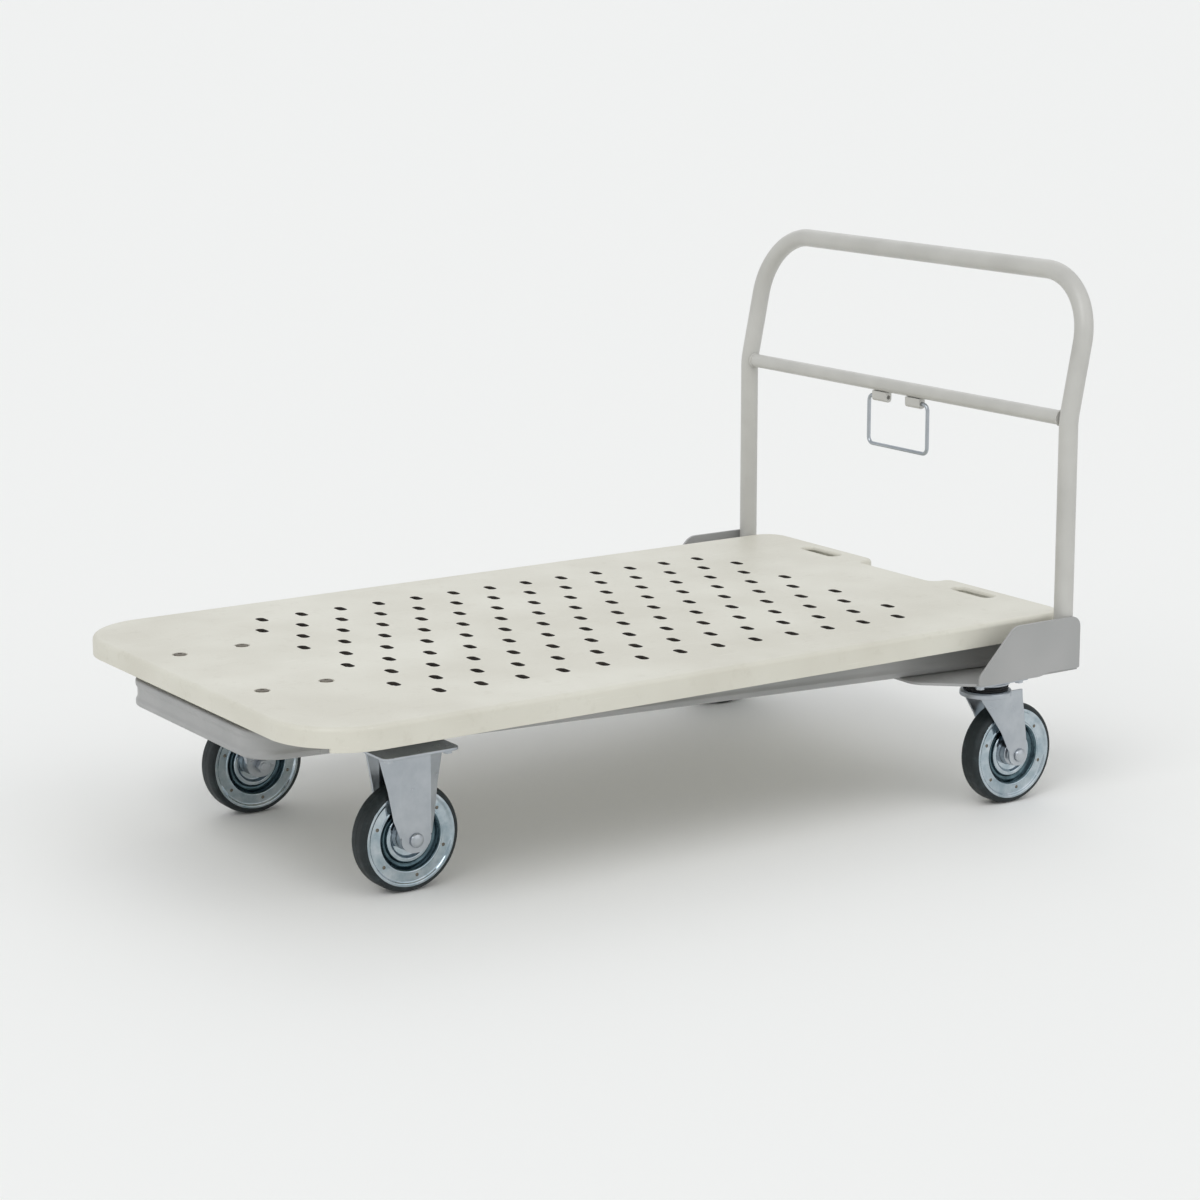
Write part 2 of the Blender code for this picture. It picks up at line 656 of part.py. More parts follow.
def deck_bolt(name, x, y, surface):
    seat = DECK_TOP - DECK_BOLT_SINK + GAP
    end = DECK_UNDERSIDE - GAP - HINGE_EAR_THICKNESS - DECK_BOLT_TAIL
    profile = [
        (end, 0), (end, DECK_BOLT_R), (seat, DECK_BOLT_R), (seat, DECK_BOLT_HEAD_R),
        (seat + DECK_BOLT_RIM, DECK_BOLT_HEAD_R),
        (seat + DECK_BOLT_DOME, DECK_BOLT_HEAD_R * DECK_BOLT_DOME_SHARE), (seat + DECK_BOLT_CROWN, 0),
    ]
    finish(name, turned_mesh(profile, (x, y, 0), 12, "Z"), surface)


# ---- wheels and casters ----

def tyre(name, x, y, surface):
    half, seat = TYRE_WIDTH / 2, TYRE_WIDTH / 2 - DISC_SHEET - GAP
    edge = TYRE_SHOULDER
    profile = [
        (-seat, TYRE_BORE_R), (-seat, DISC_R + GAP), (-half, DISC_R + GAP), (-half, WHEEL_R - edge),
        (-half + edge, WHEEL_R), (half - edge, WHEEL_R), (half, WHEEL_R - edge), (half, DISC_R + GAP),
        (seat, DISC_R + GAP), (seat, TYRE_BORE_R),
    ]
    centre = (x, y, WHEEL_R)
    finish(name, turned_mesh(profile, centre, WHEEL_SIDES), surface, centre)


def wheel_disc(name, x, y, face, surface):
    """Pressed disc; face is +1 or -1 for the side of the wheel that it closes."""
    outer, sheet = TYRE_WIDTH / 2, DISC_SHEET
    step_r, bore = TYRE_BORE_R - DISC_STEP, HUB_R + GAP
    inside = outer - DISC_DISH - sheet
    profile = [
        (outer, DISC_R), (outer, step_r), (outer - DISC_DISH, step_r - DISC_STEP_RUN),
        (outer - DISC_DISH, bore), (inside, bore), (inside, step_r - 2 * DISC_STEP_RUN / 3),
        (outer - sheet, step_r + DISC_STEP_RUN / 3), (outer - sheet, DISC_R),
    ]
    profile = [(face * along, radius) for along, radius in profile]
    centre = (x, y, WHEEL_R)
    finish(name, turned_mesh(profile, centre, WHEEL_SIDES), surface, centre)


def hub(name, x, y, surface):
    half = HUB_LENGTH / 2
    bore = AXLE_R + RUNNING
    profile = [(-half, bore), (-half, HUB_R), (half, HUB_R), (half, bore)]
    centre = (x, y, WHEEL_R)
    finish(name, turned_mesh(profile, centre, 16), surface, centre)


def axle_bolt(name, x, y, side, surface):
    outside = FORK_INSIDE / 2 + FORK_SHEET
    tail, seat, crown = -outside - AXLE_TAIL, outside + GAP, outside + AXLE_HEAD
    profile = [
        (tail, 0), (tail, AXLE_R), (seat, AXLE_R), (seat, AXLE_HEAD_R),
        (outside + AXLE_HEAD * AXLE_DOME_SHARE, AXLE_HEAD_R),
        (crown, AXLE_HEAD_R * AXLE_DOME_SHARE), (crown, 0),
    ]
    profile = [(side * along, radius) for along, radius in profile]
    centre = (x, y, WHEEL_R)
    finish(name, turned_mesh(profile, centre, 12), surface, centre)


def axle_nut(name, x, y, side, surface):
    inner = FORK_INSIDE / 2 + FORK_SHEET + GAP
    ends = sorted((x - side * inner, x - side * (inner + AXLE_NUT)))
    corners = [math.tau * step / 6 for step in range(6)]
    outline = [(y + AXLE_HEAD_R * math.cos(turn), WHEEL_R + AXLE_HEAD_R * math.sin(turn)) for turn in corners]
    nut = finish(name, prism_mesh(outline, *ends, "X"), surface)
    cut(nut, rod_mesh((x, y, WHEEL_R), AXLE_R + GAP, -FORK_INSIDE, FORK_INSIDE, 12))


def wheel(name, x, y, side, surfaces):
    """All turning pieces of one wheel and the axle that carries it; side is the axle head's side."""
    tyre("tyre_" + name, x, y, surfaces["rubber"])
    wheel_disc("disc_outer_" + name, x, y, side, surfaces["chrome"])
    wheel_disc("disc_inner_" + name, x, y, -side, surfaces["chrome"])
    hub("hub_" + name, x, y, surfaces["zinc"])
    axle_bolt("axle_bolt_" + name, x, y, side, surfaces["zinc"])
    axle_nut("axle_nut_" + name, x, y, side, surfaces["zinc"])


def fork_leg(x_low, leg, fork):
    weld(fork, prism_mesh(leg, x_low, x_low + FORK_SHEET, "X"))


def axle_hole(fork, x, y):
    reach = FORK_INSIDE
    cut(fork, rod_mesh((x, y, WHEEL_R), AXLE_R + GAP, -reach, reach, 12))


def rigid_fork(name, side, surface):
    """Pressed fork of a front caster with its top plate."""
    x, y = side * FRONT_CASTER_X, FRONT + FRONT_CASTER_Y
    top = FRAME_BOTTOM - GAP
    low = (x - FRONT_PLATE_X / 2, y - FRONT_PLATE_Y / 2, PLATE_BOTTOM)
    high = (x + FRONT_PLATE_X / 2, y + FRONT_PLATE_Y / 2, top)
    fork = finish(name, box_mesh(low, high), surface)
    leg_top = PLATE_BOTTOM + CASTER_PLATE / 2
    toe = RIGID_LEG_TOE
    leg = filleted([
        (y - RIGID_LEG_TOP, leg_top, 0, 0), (y - toe, WHEEL_R - toe, toe * TOE_SHARE, 4),
        (y + toe, WHEEL_R - toe, toe * TOE_SHARE, 4), (y + RIGID_LEG_TOP, leg_top, 0, 0),
    ])
    for x_low in (x - FORK_INSIDE / 2 - FORK_SHEET, x + FORK_INSIDE / 2):
        fork_leg(x_low, leg, fork)
    axle_hole(fork, x, y)


def swivel_top(name, side, surface):
    """Top plate of a rear caster with the dished upper race under it."""
    x, y = side * REAR_CASTER_X, FRONT + KINGPIN_Y
    low = (x - REAR_PLATE_X / 2, y - REAR_PLATE_Y / 2, REAR_PLATE_TOP - CASTER_PLATE)
    high = (x + REAR_PLATE_X / 2, y + REAR_PLATE_Y / 2, REAR_PLATE_TOP)
    plate = finish(name, box_mesh(low, high), surface)
    under = REAR_PLATE_TOP - CASTER_PLATE - UPPER_RACE
    weld(plate, rod_mesh((x, y, 0), UPPER_RACE_R, under, REAR_PLATE_TOP - CASTER_PLATE / 2, 20, "Z"))
    bore = rod_mesh((x, y, 0), KINGPIN_R + GAP, under - CUT_OVER, REAR_PLATE_TOP + CUT_OVER, 12, "Z")
    cut(plate, bore)


def crown_top():
    return REAR_PLATE_TOP - CASTER_PLATE - UPPER_RACE - GAP - LOWER_RACE - GAP


def lower_race(name, side, surface):
    x, y = side * REAR_CASTER_X, FRONT + KINGPIN_Y
    low = crown_top() + GAP
    bore = KINGPIN_R + RUNNING
    profile = [(low, bore), (low, LOWER_RACE_R), (low + LOWER_RACE, LOWER_RACE_R), (low + LOWER_RACE, bore)]
    finish(name, turned_mesh(profile, (x, y, 0), 20, "Z"), surface, (x, y, low))


def kingpin(name, side, surface):
    x, y = side * REAR_CASTER_X, FRONT + KINGPIN_Y
    under = crown_top() - FORK_SHEET - GAP
    profile = [
        (under - KINGPIN_HEAD, 0), (under - KINGPIN_HEAD, KINGPIN_HEAD_R), (under, KINGPIN_HEAD_R),
        (under, KINGPIN_R),
        (REAR_PLATE_TOP - GAP, KINGPIN_R), (REAR_PLATE_TOP - GAP, 0),
    ]
    finish(name, turned_mesh(profile, (x, y, 0), 12, "Z"), surface)


def swivel_fork(name, side, surface):
    """Raked fork of a rear caster: round crown and two legs that reach back to the axle."""
    x, y = side * REAR_CASTER_X, FRONT + KINGPIN_Y
    top = crown_top()
    crown = rod_mesh((x, y, 0), CROWN_R, top - FORK_SHEET, top, 24, "Z")
    fork = finish(name, crown, surface, (x, y, top))
    axle_y = y + TRAIL
    leg_top = top - FORK_SHEET / 2
    toe = SWIVEL_LEG_TOE
    leg = filleted([
        (y - SWIVEL_LEG_FRONT, leg_top, 0, 0),
        (y - SWIVEL_LEG_FRONT, leg_top - SWIVEL_LEG_DROP, SWIVEL_LEG_DROP_ROUND, 2),
        (y + SWIVEL_KNEE_BACK, WHEEL_R + SWIVEL_KNEE_UP, SWIVEL_KNEE_ROUND, 3),
        (axle_y - toe, WHEEL_R - toe, toe * TOE_SHARE, 4), (axle_y + toe, WHEEL_R - toe, toe * TOE_SHARE, 4),
        (y + SWIVEL_LEG_REAR, leg_top, 0, 0),
    ])
    for x_low in (x - FORK_INSIDE / 2 - FORK_SHEET, x + FORK_INSIDE / 2):
        fork_leg(x_low, leg, fork)
    bore = rod_mesh((x, y, 0), KINGPIN_R + RUNNING, top - FORK_SHEET - CUT_OVER, top + CUT_OVER, 12, "Z")
    cut(fork, bore)
    axle_hole(fork, x, axle_y)


# ---- assembly ----

def build():
    clear_scene()
    ivory = material("ivory_polypropylene", (0.64, 0.62, 0.55), 0.45)
    grey = material("grey_frame_paint", (0.37, 0.37, 0.37), 0.45)
    bright = material("handle_paint", (0.47, 0.47, 0.45), 0.35, 0.4)
    zinc = material("zinc_plated_steel", (0.35, 0.38, 0.41), 0.3, 1.0)
    chrome = material("chromed_disc", (0.55, 0.58, 0.6), 0.12, 1.0)
    rubber = material("black_rubber", (0.015, 0.02, 0.022), 0.6)
    surfaces = {"zinc": zinc, "chrome": chrome, "rubber": rubber}

    frame_nose(grey)
    hinge_tube(grey)
    tube_object("handle_tube", handle_route(), HANDLE_TUBE_R, 4, bright)
    middle_rail(bright)
    wire_bail(zinc)
    moulded_deck(ivory)
    for index, (x, y) in enumerate(deck_bolt_places(), 1):
        deck_bolt(f"deck_bolt_{index}", x, y, zinc)

    for label, side in (("left", -1), ("right", 1)):
        side_rail("side_rail_" + label, side, grey)
        rear_pad("rear_pad_" + label, side, grey)
        side_bracket("side_bracket_" + label, side, grey)
        deck_rest("deck_rest_" + label, side, rubber)
        bail_lug("bail_lug_" + label, side, bright)
        hinge_block("hinge_block_" + label, side, zinc)
        rigid_fork("rigid_fork_" + label, side, zinc)
        swivel_top("swivel_top_" + label, side, zinc)
        lower_race("lower_race_" + label, side, zinc)
        kingpin("kingpin_" + label, side, zinc)
        swivel_fork("swivel_fork_" + label, side, zinc)
        wheel("front_" + label, side * FRONT_CASTER_X, FRONT + FRONT_CASTER_Y, side, surfaces)
        wheel("rear_" + label, side * REAR_CASTER_X, FRONT + KINGPIN_Y + TRAIL, side, surfaces)


build()
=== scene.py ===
import math

import bmesh
import bpy
from mathutils import Matrix, Vector


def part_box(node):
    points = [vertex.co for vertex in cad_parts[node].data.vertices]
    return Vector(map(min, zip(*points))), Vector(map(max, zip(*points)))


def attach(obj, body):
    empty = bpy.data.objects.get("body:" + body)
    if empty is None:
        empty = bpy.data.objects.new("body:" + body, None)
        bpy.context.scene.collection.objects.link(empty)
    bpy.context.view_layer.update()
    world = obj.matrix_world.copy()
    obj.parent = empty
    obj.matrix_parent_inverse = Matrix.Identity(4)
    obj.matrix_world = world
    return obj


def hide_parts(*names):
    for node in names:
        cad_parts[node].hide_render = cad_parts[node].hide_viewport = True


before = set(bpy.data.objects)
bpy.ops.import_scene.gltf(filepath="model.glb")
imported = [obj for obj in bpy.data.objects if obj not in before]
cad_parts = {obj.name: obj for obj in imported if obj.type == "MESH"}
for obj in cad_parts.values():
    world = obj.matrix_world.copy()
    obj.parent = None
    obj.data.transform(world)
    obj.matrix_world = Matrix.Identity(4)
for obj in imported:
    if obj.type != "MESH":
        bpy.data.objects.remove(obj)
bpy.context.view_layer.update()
scene = bpy.context.scene
sides = (("left", -1), ("right", 1))
print("frame loaded,", len(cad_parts), "nodes")


studio = {
    "cameraPlace": (3.5049, -2.3327, 1.2349),
    "cameraTurn": (79.81, 0.0, 55.997),      # degrees
    "lens": 88.768,
    "shiftY": -0.1,
    "floorHalf": 300.0,                      # metres, far enough that its edge stays out of view
    "floorColour": "#F6F6F4",
    "skyColour": "#F7F9FB",
    "groundGlow": "#E9EAEA",
    "skyStrength": 0.70,
    # soft lamps far away, so the floor is lit evenly: where from, softness in degrees, power
    "key": {"from": (0.5, -1.0, 1.15), "softness": 35, "power": 0.85},
    "fill": {"from": (1.4, 0.5, 0.9), "softness": 60, "power": 0.34},
    "rim": {"from": (-1.2, 0.8, 1.0), "softness": 50, "power": 0.28},
}


def toLinear(hexColour):
    values = [int(hexColour[start:start + 2], 16) / 255 for start in (1, 3, 5)]
    return [*(v / 12.92 if v <= 0.04045 else ((v + 0.055) / 1.055) ** 2.4 for v in values), 1.0]


# adds a node with its settings (properties or sockets), the links that feed it and the sockets that it feeds
def addNode(tree, kind, settings=None, links=None, feeds=None):
    node = tree.nodes.new(kind)
    for key, value in (settings or {}).items():
        if isinstance(key, str) and hasattr(node, key):
            setattr(node, key, value)
        else:
            node.inputs[key].default_value = value
    for key, source in (links or {}).items():
        tree.links.new(source, node.inputs[key])
    for key, target in (feeds or {}).items():
        tree.links.new(node.outputs[key], target)
    return node


def setUpCamera():
    lens = bpy.data.cameras.new("studioCamera")
    lens.lens = studio["lens"]
    lens.shift_y = studio["shiftY"]
    camera = bpy.data.objects.new("studioCamera", lens)
    camera.location = studio["cameraPlace"]
    camera.rotation_euler = [math.radians(turn) for turn in studio["cameraTurn"]]
    scene.collection.objects.link(camera)
    scene.camera = camera


def setUpLights():
    for name in ("key", "fill", "rim"):
        settings = studio[name]
        lamp = bpy.data.lights.new(name + "Light", "SUN")
        lamp.angle = math.radians(settings["softness"])
        lamp.energy = settings["power"]
        light = bpy.data.objects.new(name + "Light", lamp)
        light.rotation_euler = (-Vector(settings["from"])).to_track_quat("-Z", "Y").to_euler()
        scene.collection.objects.link(light)
    world = bpy.data.worlds.new("paleStudio")
    world.use_nodes = True
    tree = world.node_tree
    tree.nodes.clear()
    # soft dome, a little darker towards the ground
    coords = addNode(tree, "ShaderNodeTexCoord")
    split = addNode(tree, "ShaderNodeSeparateXYZ", None, {0: coords.outputs["Generated"]})
    rise = addNode(tree, "ShaderNodeMapRange", {
        "From Min": -0.3, "From Max": 0.5,
    }, {"Value": split.outputs["Z"]})
    mix = addNode(tree, "ShaderNodeMix", {
        "data_type": "RGBA", 6: toLinear(studio["groundGlow"]), 7: toLinear(studio["skyColour"]),
    }, {0: rise.outputs["Result"]})
    glow = addNode(tree, "ShaderNodeBackground", {
        "Strength": studio["skyStrength"],
    }, {"Color": mix.outputs[2]})
    addNode(tree, "ShaderNodeOutputWorld", None, {"Surface": glow.outputs[0]})
    scene.world = world


def setUpFloor():
    paper = bpy.data.materials.new("mattBackdropPaper")
    paper.use_nodes = True
    shader = paper.node_tree.nodes["Principled BSDF"]
    shader.inputs["Base Color"].default_value = toLinear(studio["floorColour"])
    shader.inputs["Roughness"].default_value = 0.9
    bm = bmesh.new()
    bmesh.ops.create_grid(bm, x_segments=1, y_segments=1, size=studio["floorHalf"])
    mesh = bpy.data.meshes.new("floor")
    bm.to_mesh(mesh)
    bm.free()
    mesh.materials.append(paper)
    floor = bpy.data.objects.new("floor", mesh)
    scene.collection.objects.link(floor)


setUpCamera()
setUpLights()
setUpFloor()
scene.view_settings.view_transform = "Standard"
print("camera, light and floor set")


# a new material with its shader and the object coordinates that its patterns follow
def startMaterial(name, metallic=0.0, specular=0.5):
    made = bpy.data.materials.new(name)
    made.use_nodes = True
    tree = made.node_tree
    shader = tree.nodes["Principled BSDF"]
    shader.inputs["Metallic"].default_value = metallic
    if not metallic:
        shader.inputs["Specular IOR Level"].default_value = specular
    coords = addNode(tree, "ShaderNodeTexCoord")
    return made, tree, shader, coords.outputs["Object"]


# injection-moulded polypropylene: satin, faintly cloudy, with spark-eroded grain, scuffed the way loads slide
polypropylene = {
    "colour": "#DCDACE", "cloud": "#D2CFC2", "cloudSize": 180.0,   # mm
    "grainSize": 1.6, "grainDepth": 0.10,                          # coarser than the real 0.3 mm grain
    "scuffColour": "#E9E7DD", "scuffWidth": 3.0, "scuffLength": 90.0,
    "dirtColour": "#BDB8A8", "dirtSize": 22.0,
    "roughLow": 0.36, "roughHigh": 0.52, "specular": 0.45,
}
# the same plastic inside the drain holes, darkened as painted shade where the hole walls lie in shadow, with
# some dirt settled there too
holeShadeAndDirt = {"colour": "#332C24", "deep": "#171310", "patchSize": 6.0, "rough": 0.8}
# stoved enamel over pressed steel: smooth grey with a slight orange peel, thin at edges
greyEnamel = {
    "name": "stovedGreyEnamel", "colour": "#A9A9A8", "tone": "#9E9F9E", "toneSize": 140.0,
    "peelSize": 2.4, "peelDepth": 0.08, "wearColour": "#C6C8C9", "wearSize": 9.0,
    "roughLow": 0.34, "roughHigh": 0.48, "specular": 0.5,
}
# silver-grey enamel on drawn tube: a little glossier, with a soft long highlight
tubeEnamel = {
    "name": "silverGreyTubeEnamel", "colour": "#C4C3BE", "tone": "#BAB9B4", "toneSize": 90.0,
    "peelSize": 1.8, "peelDepth": 0.05, "wearColour": "#D3D2CD", "wearSize": 7.0,
    "roughLow": 0.28, "roughHigh": 0.40, "specular": 0.55,
}
# bright zinc plate on pressed steel: pale, slightly blue, with a drawn grain and dull patches
zincPlate = {
    "name": "brightZincPlate", "colour": "#BCC1C6", "tone": "#ABB1B7", "toneSize": 45.0,
    "grainLength": 60.0, "grainWidth": 0.8, "grainDepth": 0.05, "roughLow": 0.27, "roughHigh": 0.38,
}
# passivated zinc on small screws and rivets: duller and a little brown, and darkened further as painted shade
# for the sunken deck bolts and the rivets
dullZincAndShade = {
    "name": "passivatedZincAndShade", "colour": "#8C867B", "tone": "#6C675E", "toneSize": 4.0,
    "grainLength": 6.0, "grainWidth": 0.8, "grainDepth": 0.08, "roughLow": 0.42, "roughHigh": 0.6,
}
# chromium plate on spun steel: nearly a mirror, faintly blue, with slight ripples from pressing
chromePlate = {
    "name": "chromiumPlate", "colour": "#C6CFD5", "tone": "#9DAEB7", "toneSize": 24.0,
    "grainLength": 14.0, "grainWidth": 6.0, "grainDepth": 0.05, "roughLow": 0.05, "roughHigh": 0.13,
}
# the same plating down in the bowl of a disc, a little duller, its colour darkened as painted shade where the
# dish lies in shadow
bowlShadePlate = {
    "name": "shadedChromiumPlate", "colour": "#62777F", "tone": "#46585F", "toneSize": 14.0,
    "grainLength": 14.0, "grainWidth": 6.0, "grainDepth": 0.05, "roughLow": 0.12, "roughHigh": 0.26,
}
# press-moulded solid rubber: near black, matt, a little dust on it
tyreRubber = {
    "name": "solidTyreRubber", "colour": "#1D2527", "dust": "#364144", "dustSize": 16.0,
    "grainSize": 0.9, "grainDepth": 0.12, "roughLow": 0.48, "roughHigh": 0.66,
}
bufferRubber = {
    "name": "mouldedBufferRubber", "colour": "#15171A", "dust": "#2B2E31", "dustSize": 8.0,
    "grainSize": 0.7, "grainDepth": 0.10, "roughLow": 0.6, "roughHigh": 0.75,
}


# scale of a noise whose grain is so many mm, on coordinates in metres
def perMetre(size):
    return 1000.0 / size


def makePolypropylene():
    look = polypropylene
    made, tree, shader, coords = startMaterial("mouldedPolypropylene", specular=look["specular"])
    cloud = addNode(tree, "ShaderNodeTexNoise", {
        "Scale": perMetre(look["cloudSize"]), "Detail": 2.0, "Roughness": 0.55,
    }, {"Vector": coords})
    cloudy = addNode(tree, "ShaderNodeMapRange", {
        "From Min": 0.35, "From Max": 0.65,
    }, {"Value": cloud.outputs["Fac"]})
    base = addNode(tree, "ShaderNodeMix", {
        "data_type": "RGBA", 6: toLinear(look["cloud"]), 7: toLinear(look["colour"]),
    }, {0: cloudy.outputs["Result"]})
    # scuffs drawn out along the deck, the way that loads slide
    drawn = addNode(tree, "ShaderNodeMapping", {
        "Scale": (1.0, look["scuffWidth"] / look["scuffLength"], 1.0),
    }, {"Vector": coords})
    scuff = addNode(tree, "ShaderNodeTexNoise", {
        "Scale": perMetre(look["scuffWidth"]), "Detail": 4.0, "Roughness": 0.7,
    }, {"Vector": drawn.outputs["Vector"]})
    scuffed = addNode(tree, "ShaderNodeMapRange", {
        "From Min": 0.60, "From Max": 0.78, "To Max": 0.55,
    }, {"Value": scuff.outputs["Fac"]})
    paler = addNode(tree, "ShaderNodeMix", {
        "data_type": "RGBA", 7: toLinear(look["scuffColour"]),
    }, {0: scuffed.outputs["Result"], 6: base.outputs[2]})
    dirt = addNode(tree, "ShaderNodeTexNoise", {
        "Scale": perMetre(look["dirtSize"]), "Detail": 5.0, "Roughness": 0.7,
    }, {"Vector": coords})
    dirty = addNode(tree, "ShaderNodeMapRange", {
        "From Min": 0.56, "From Max": 0.80, "To Max": 0.35,
    }, {"Value": dirt.outputs["Fac"]})
    addNode(tree, "ShaderNodeMix", {
        "data_type": "RGBA", 7: toLinear(look["dirtColour"]),
    }, {0: dirty.outputs["Result"], 6: paler.outputs[2]}, {2: shader.inputs["Base Color"]})
    grain = addNode(tree, "ShaderNodeTexNoise", {
        "Scale": perMetre(look["grainSize"]), "Detail": 2.0, "Roughness": 0.55,
    }, {"Vector": coords})
    addNode(tree, "ShaderNodeMapRange", {
        "From Min": 0.3, "From Max": 0.7, "To Min": look["roughLow"], "To Max": look["roughHigh"],
    }, {"Value": grain.outputs["Fac"]}, {"Result": shader.inputs["Roughness"]})
    addNode(tree, "ShaderNodeBump", {
        "Strength": look["grainDepth"], "Distance": 0.0004,
    }, {"Height": grain.outputs["Fac"]}, {"Normal": shader.inputs["Normal"]})
    return made


# dark patchy colour for the drain-hole walls: painted shade, with some dirt
def makeHoleShadeAndDirt():
    look = holeShadeAndDirt
    made, tree, shader, coords = startMaterial("shadedDirtyPolypropylene")
    patch = addNode(tree, "ShaderNodeTexNoise", {
        "Scale": perMetre(look["patchSize"]), "Detail": 3.0, "Roughness": 0.55,
    }, {"Vector": coords})
    patchy = addNode(tree, "ShaderNodeMapRange", {
        "From Min": 0.35, "From Max": 0.65,
    }, {"Value": patch.outputs["Fac"]})
    addNode(tree, "ShaderNodeMix", {
        "data_type": "RGBA", 6: toLinear(look["deep"]), 7: toLinear(look["colour"]),
    }, {0: patchy.outputs["Result"]}, {2: shader.inputs["Base Color"]})
    shader.inputs["Roughness"].default_value = look["rough"]
    return made


def makeEnamel(look):
    made, tree, shader, coords = startMaterial(look["name"], specular=look["specular"])
    tone = addNode(tree, "ShaderNodeTexNoise", {
        "Scale": perMetre(look["toneSize"]), "Detail": 2.0, "Roughness": 0.55,
    }, {"Vector": coords})
    toned = addNode(tree, "ShaderNodeMapRange", {
        "From Min": 0.35, "From Max": 0.65,
    }, {"Value": tone.outputs["Fac"]})
    base = addNode(tree, "ShaderNodeMix", {
        "data_type": "RGBA", 6: toLinear(look["tone"]), 7: toLinear(look["colour"]),
    }, {0: toned.outputs["Result"]})
    # paint is thinner, so paler, where the steel turns a corner
    bend = addNode(tree, "ShaderNodeNewGeometry")
    corner = addNode(tree, "ShaderNodeMapRange", {
        "From Min": 0.66, "From Max": 0.80,
    }, {"Value": bend.outputs["Pointiness"]})
    chip = addNode(tree, "ShaderNodeTexNoise", {
        "Scale": perMetre(look["wearSize"]), "Detail": 4.0, "Roughness": 0.55,
    }, {"Vector": coords})
    broken = addNode(tree, "ShaderNodeMapRange", {
        "From Min": 0.42, "From Max": 0.60,
    }, {"Value": chip.outputs["Fac"]})
    wear = addNode(tree, "ShaderNodeMath", {
        "operation": "MULTIPLY",
    }, {0: corner.outputs["Result"], 1: broken.outputs["Result"]})
    addNode(tree, "ShaderNodeMix", {
        "data_type": "RGBA", 7: toLinear(look["wearColour"]),
    }, {0: wear.outputs[0], 6: base.outputs[2]}, {2: shader.inputs["Base Color"]})
    gloss = addNode(tree, "ShaderNodeTexNoise", {
        "Scale": perMetre(look["wearSize"]), "Detail": 3.0, "Roughness": 0.55,
    }, {"Vector": coords})
    addNode(tree, "ShaderNodeMapRange", {
        "From Min": 0.3, "From Max": 0.7, "To Min": look["roughLow"], "To Max": look["roughHigh"],
    }, {"Value": gloss.outputs["Fac"]}, {"Result": shader.inputs["Roughness"]})
    peel = addNode(tree, "ShaderNodeTexNoise", {
        "Scale": perMetre(look["peelSize"]), "Detail": 1.0, "Roughness": 0.55,
    }, {"Vector": coords})
    addNode(tree, "ShaderNodeBump", {
        "Strength": look["peelDepth"], "Distance": 0.0003,
    }, {"Height": peel.outputs["Fac"]}, {"Normal": shader.inputs["Normal"]})
    return made


def makePlate(look):
    made, tree, shader, coords = startMaterial(look["name"], metallic=1.0)
    tone = addNode(tree, "ShaderNodeTexNoise", {
        "Scale": perMetre(look["toneSize"]), "Detail": 4.0, "Roughness": 0.65,
    }, {"Vector": coords})
    toned = addNode(tree, "ShaderNodeMapRange", {
        "From Min": 0.35, "From Max": 0.68,
    }, {"Value": tone.outputs["Fac"]})
    addNode(tree, "ShaderNodeMix", {
        "data_type": "RGBA", 6: toLinear(look["tone"]), 7: toLinear(look["colour"]),
    }, {0: toned.outputs["Result"]}, {2: shader.inputs["Base Color"]})
    gloss = addNode(tree, "ShaderNodeTexNoise", {
        "Scale": perMetre(look["toneSize"] / 2), "Detail": 3.0, "Roughness": 0.55,
    }, {"Vector": coords})
    addNode(tree, "ShaderNodeMapRange", {
        "From Min": 0.3, "From Max": 0.7, "To Min": look["roughLow"], "To Max": look["roughHigh"],
    }, {"Value": gloss.outputs["Fac"]}, {"Result": shader.inputs["Roughness"]})
    # the rolling grain runs up and down each pressing
    drawn = addNode(tree, "ShaderNodeMapping", {
        "Scale": (1.0, 1.0, look["grainWidth"] / look["grainLength"]),
    }, {"Vector": coords})
    grain = addNode(tree, "ShaderNodeTexNoise", {
        "Scale": perMetre(look["grainWidth"]), "Detail": 2.0, "Roughness": 0.55,
    }, {"Vector": drawn.outputs["Vector"]})
    addNode(tree, "ShaderNodeBump", {
        "Strength": look["grainDepth"], "Distance": 0.0002,
    }, {"Height": grain.outputs["Fac"]}, {"Normal": shader.inputs["Normal"]})
    return made


def makeRubber(look):
    made, tree, shader, coords = startMaterial(look["name"], specular=0.4)
    dust = addNode(tree, "ShaderNodeTexNoise", {
        "Scale": perMetre(look["dustSize"]), "Detail": 5.0, "Roughness": 0.7,
    }, {"Vector": coords})
    dusty = addNode(tree, "ShaderNodeMapRange", {
        "From Min": 0.48, "From Max": 0.80,
    }, {"Value": dust.outputs["Fac"]})
    addNode(tree, "ShaderNodeMix", {
        "data_type": "RGBA", 6: toLinear(look["colour"]), 7: toLinear(look["dust"]),
    }, {0: dusty.outputs["Result"]}, {2: shader.inputs["Base Color"]})
    grain = addNode(tree, "ShaderNodeTexNoise", {
        "Scale": perMetre(look["grainSize"]), "Detail": 3.0, "Roughness": 0.55,
    }, {"Vector": coords})
    addNode(tree, "ShaderNodeMapRange", {
        "From Min": 0.3, "From Max": 0.7, "To Min": look["roughLow"], "To Max": look["roughHigh"],
    }, {"Value": grain.outputs["Fac"]}, {"Result": shader.inputs["Roughness"]})
    addNode(tree, "ShaderNodeBump", {
        "Strength": look["grainDepth"], "Distance": 0.0003,
    }, {"Height": grain.outputs["Fac"]}, {"Normal": shader.inputs["Normal"]})
    return made


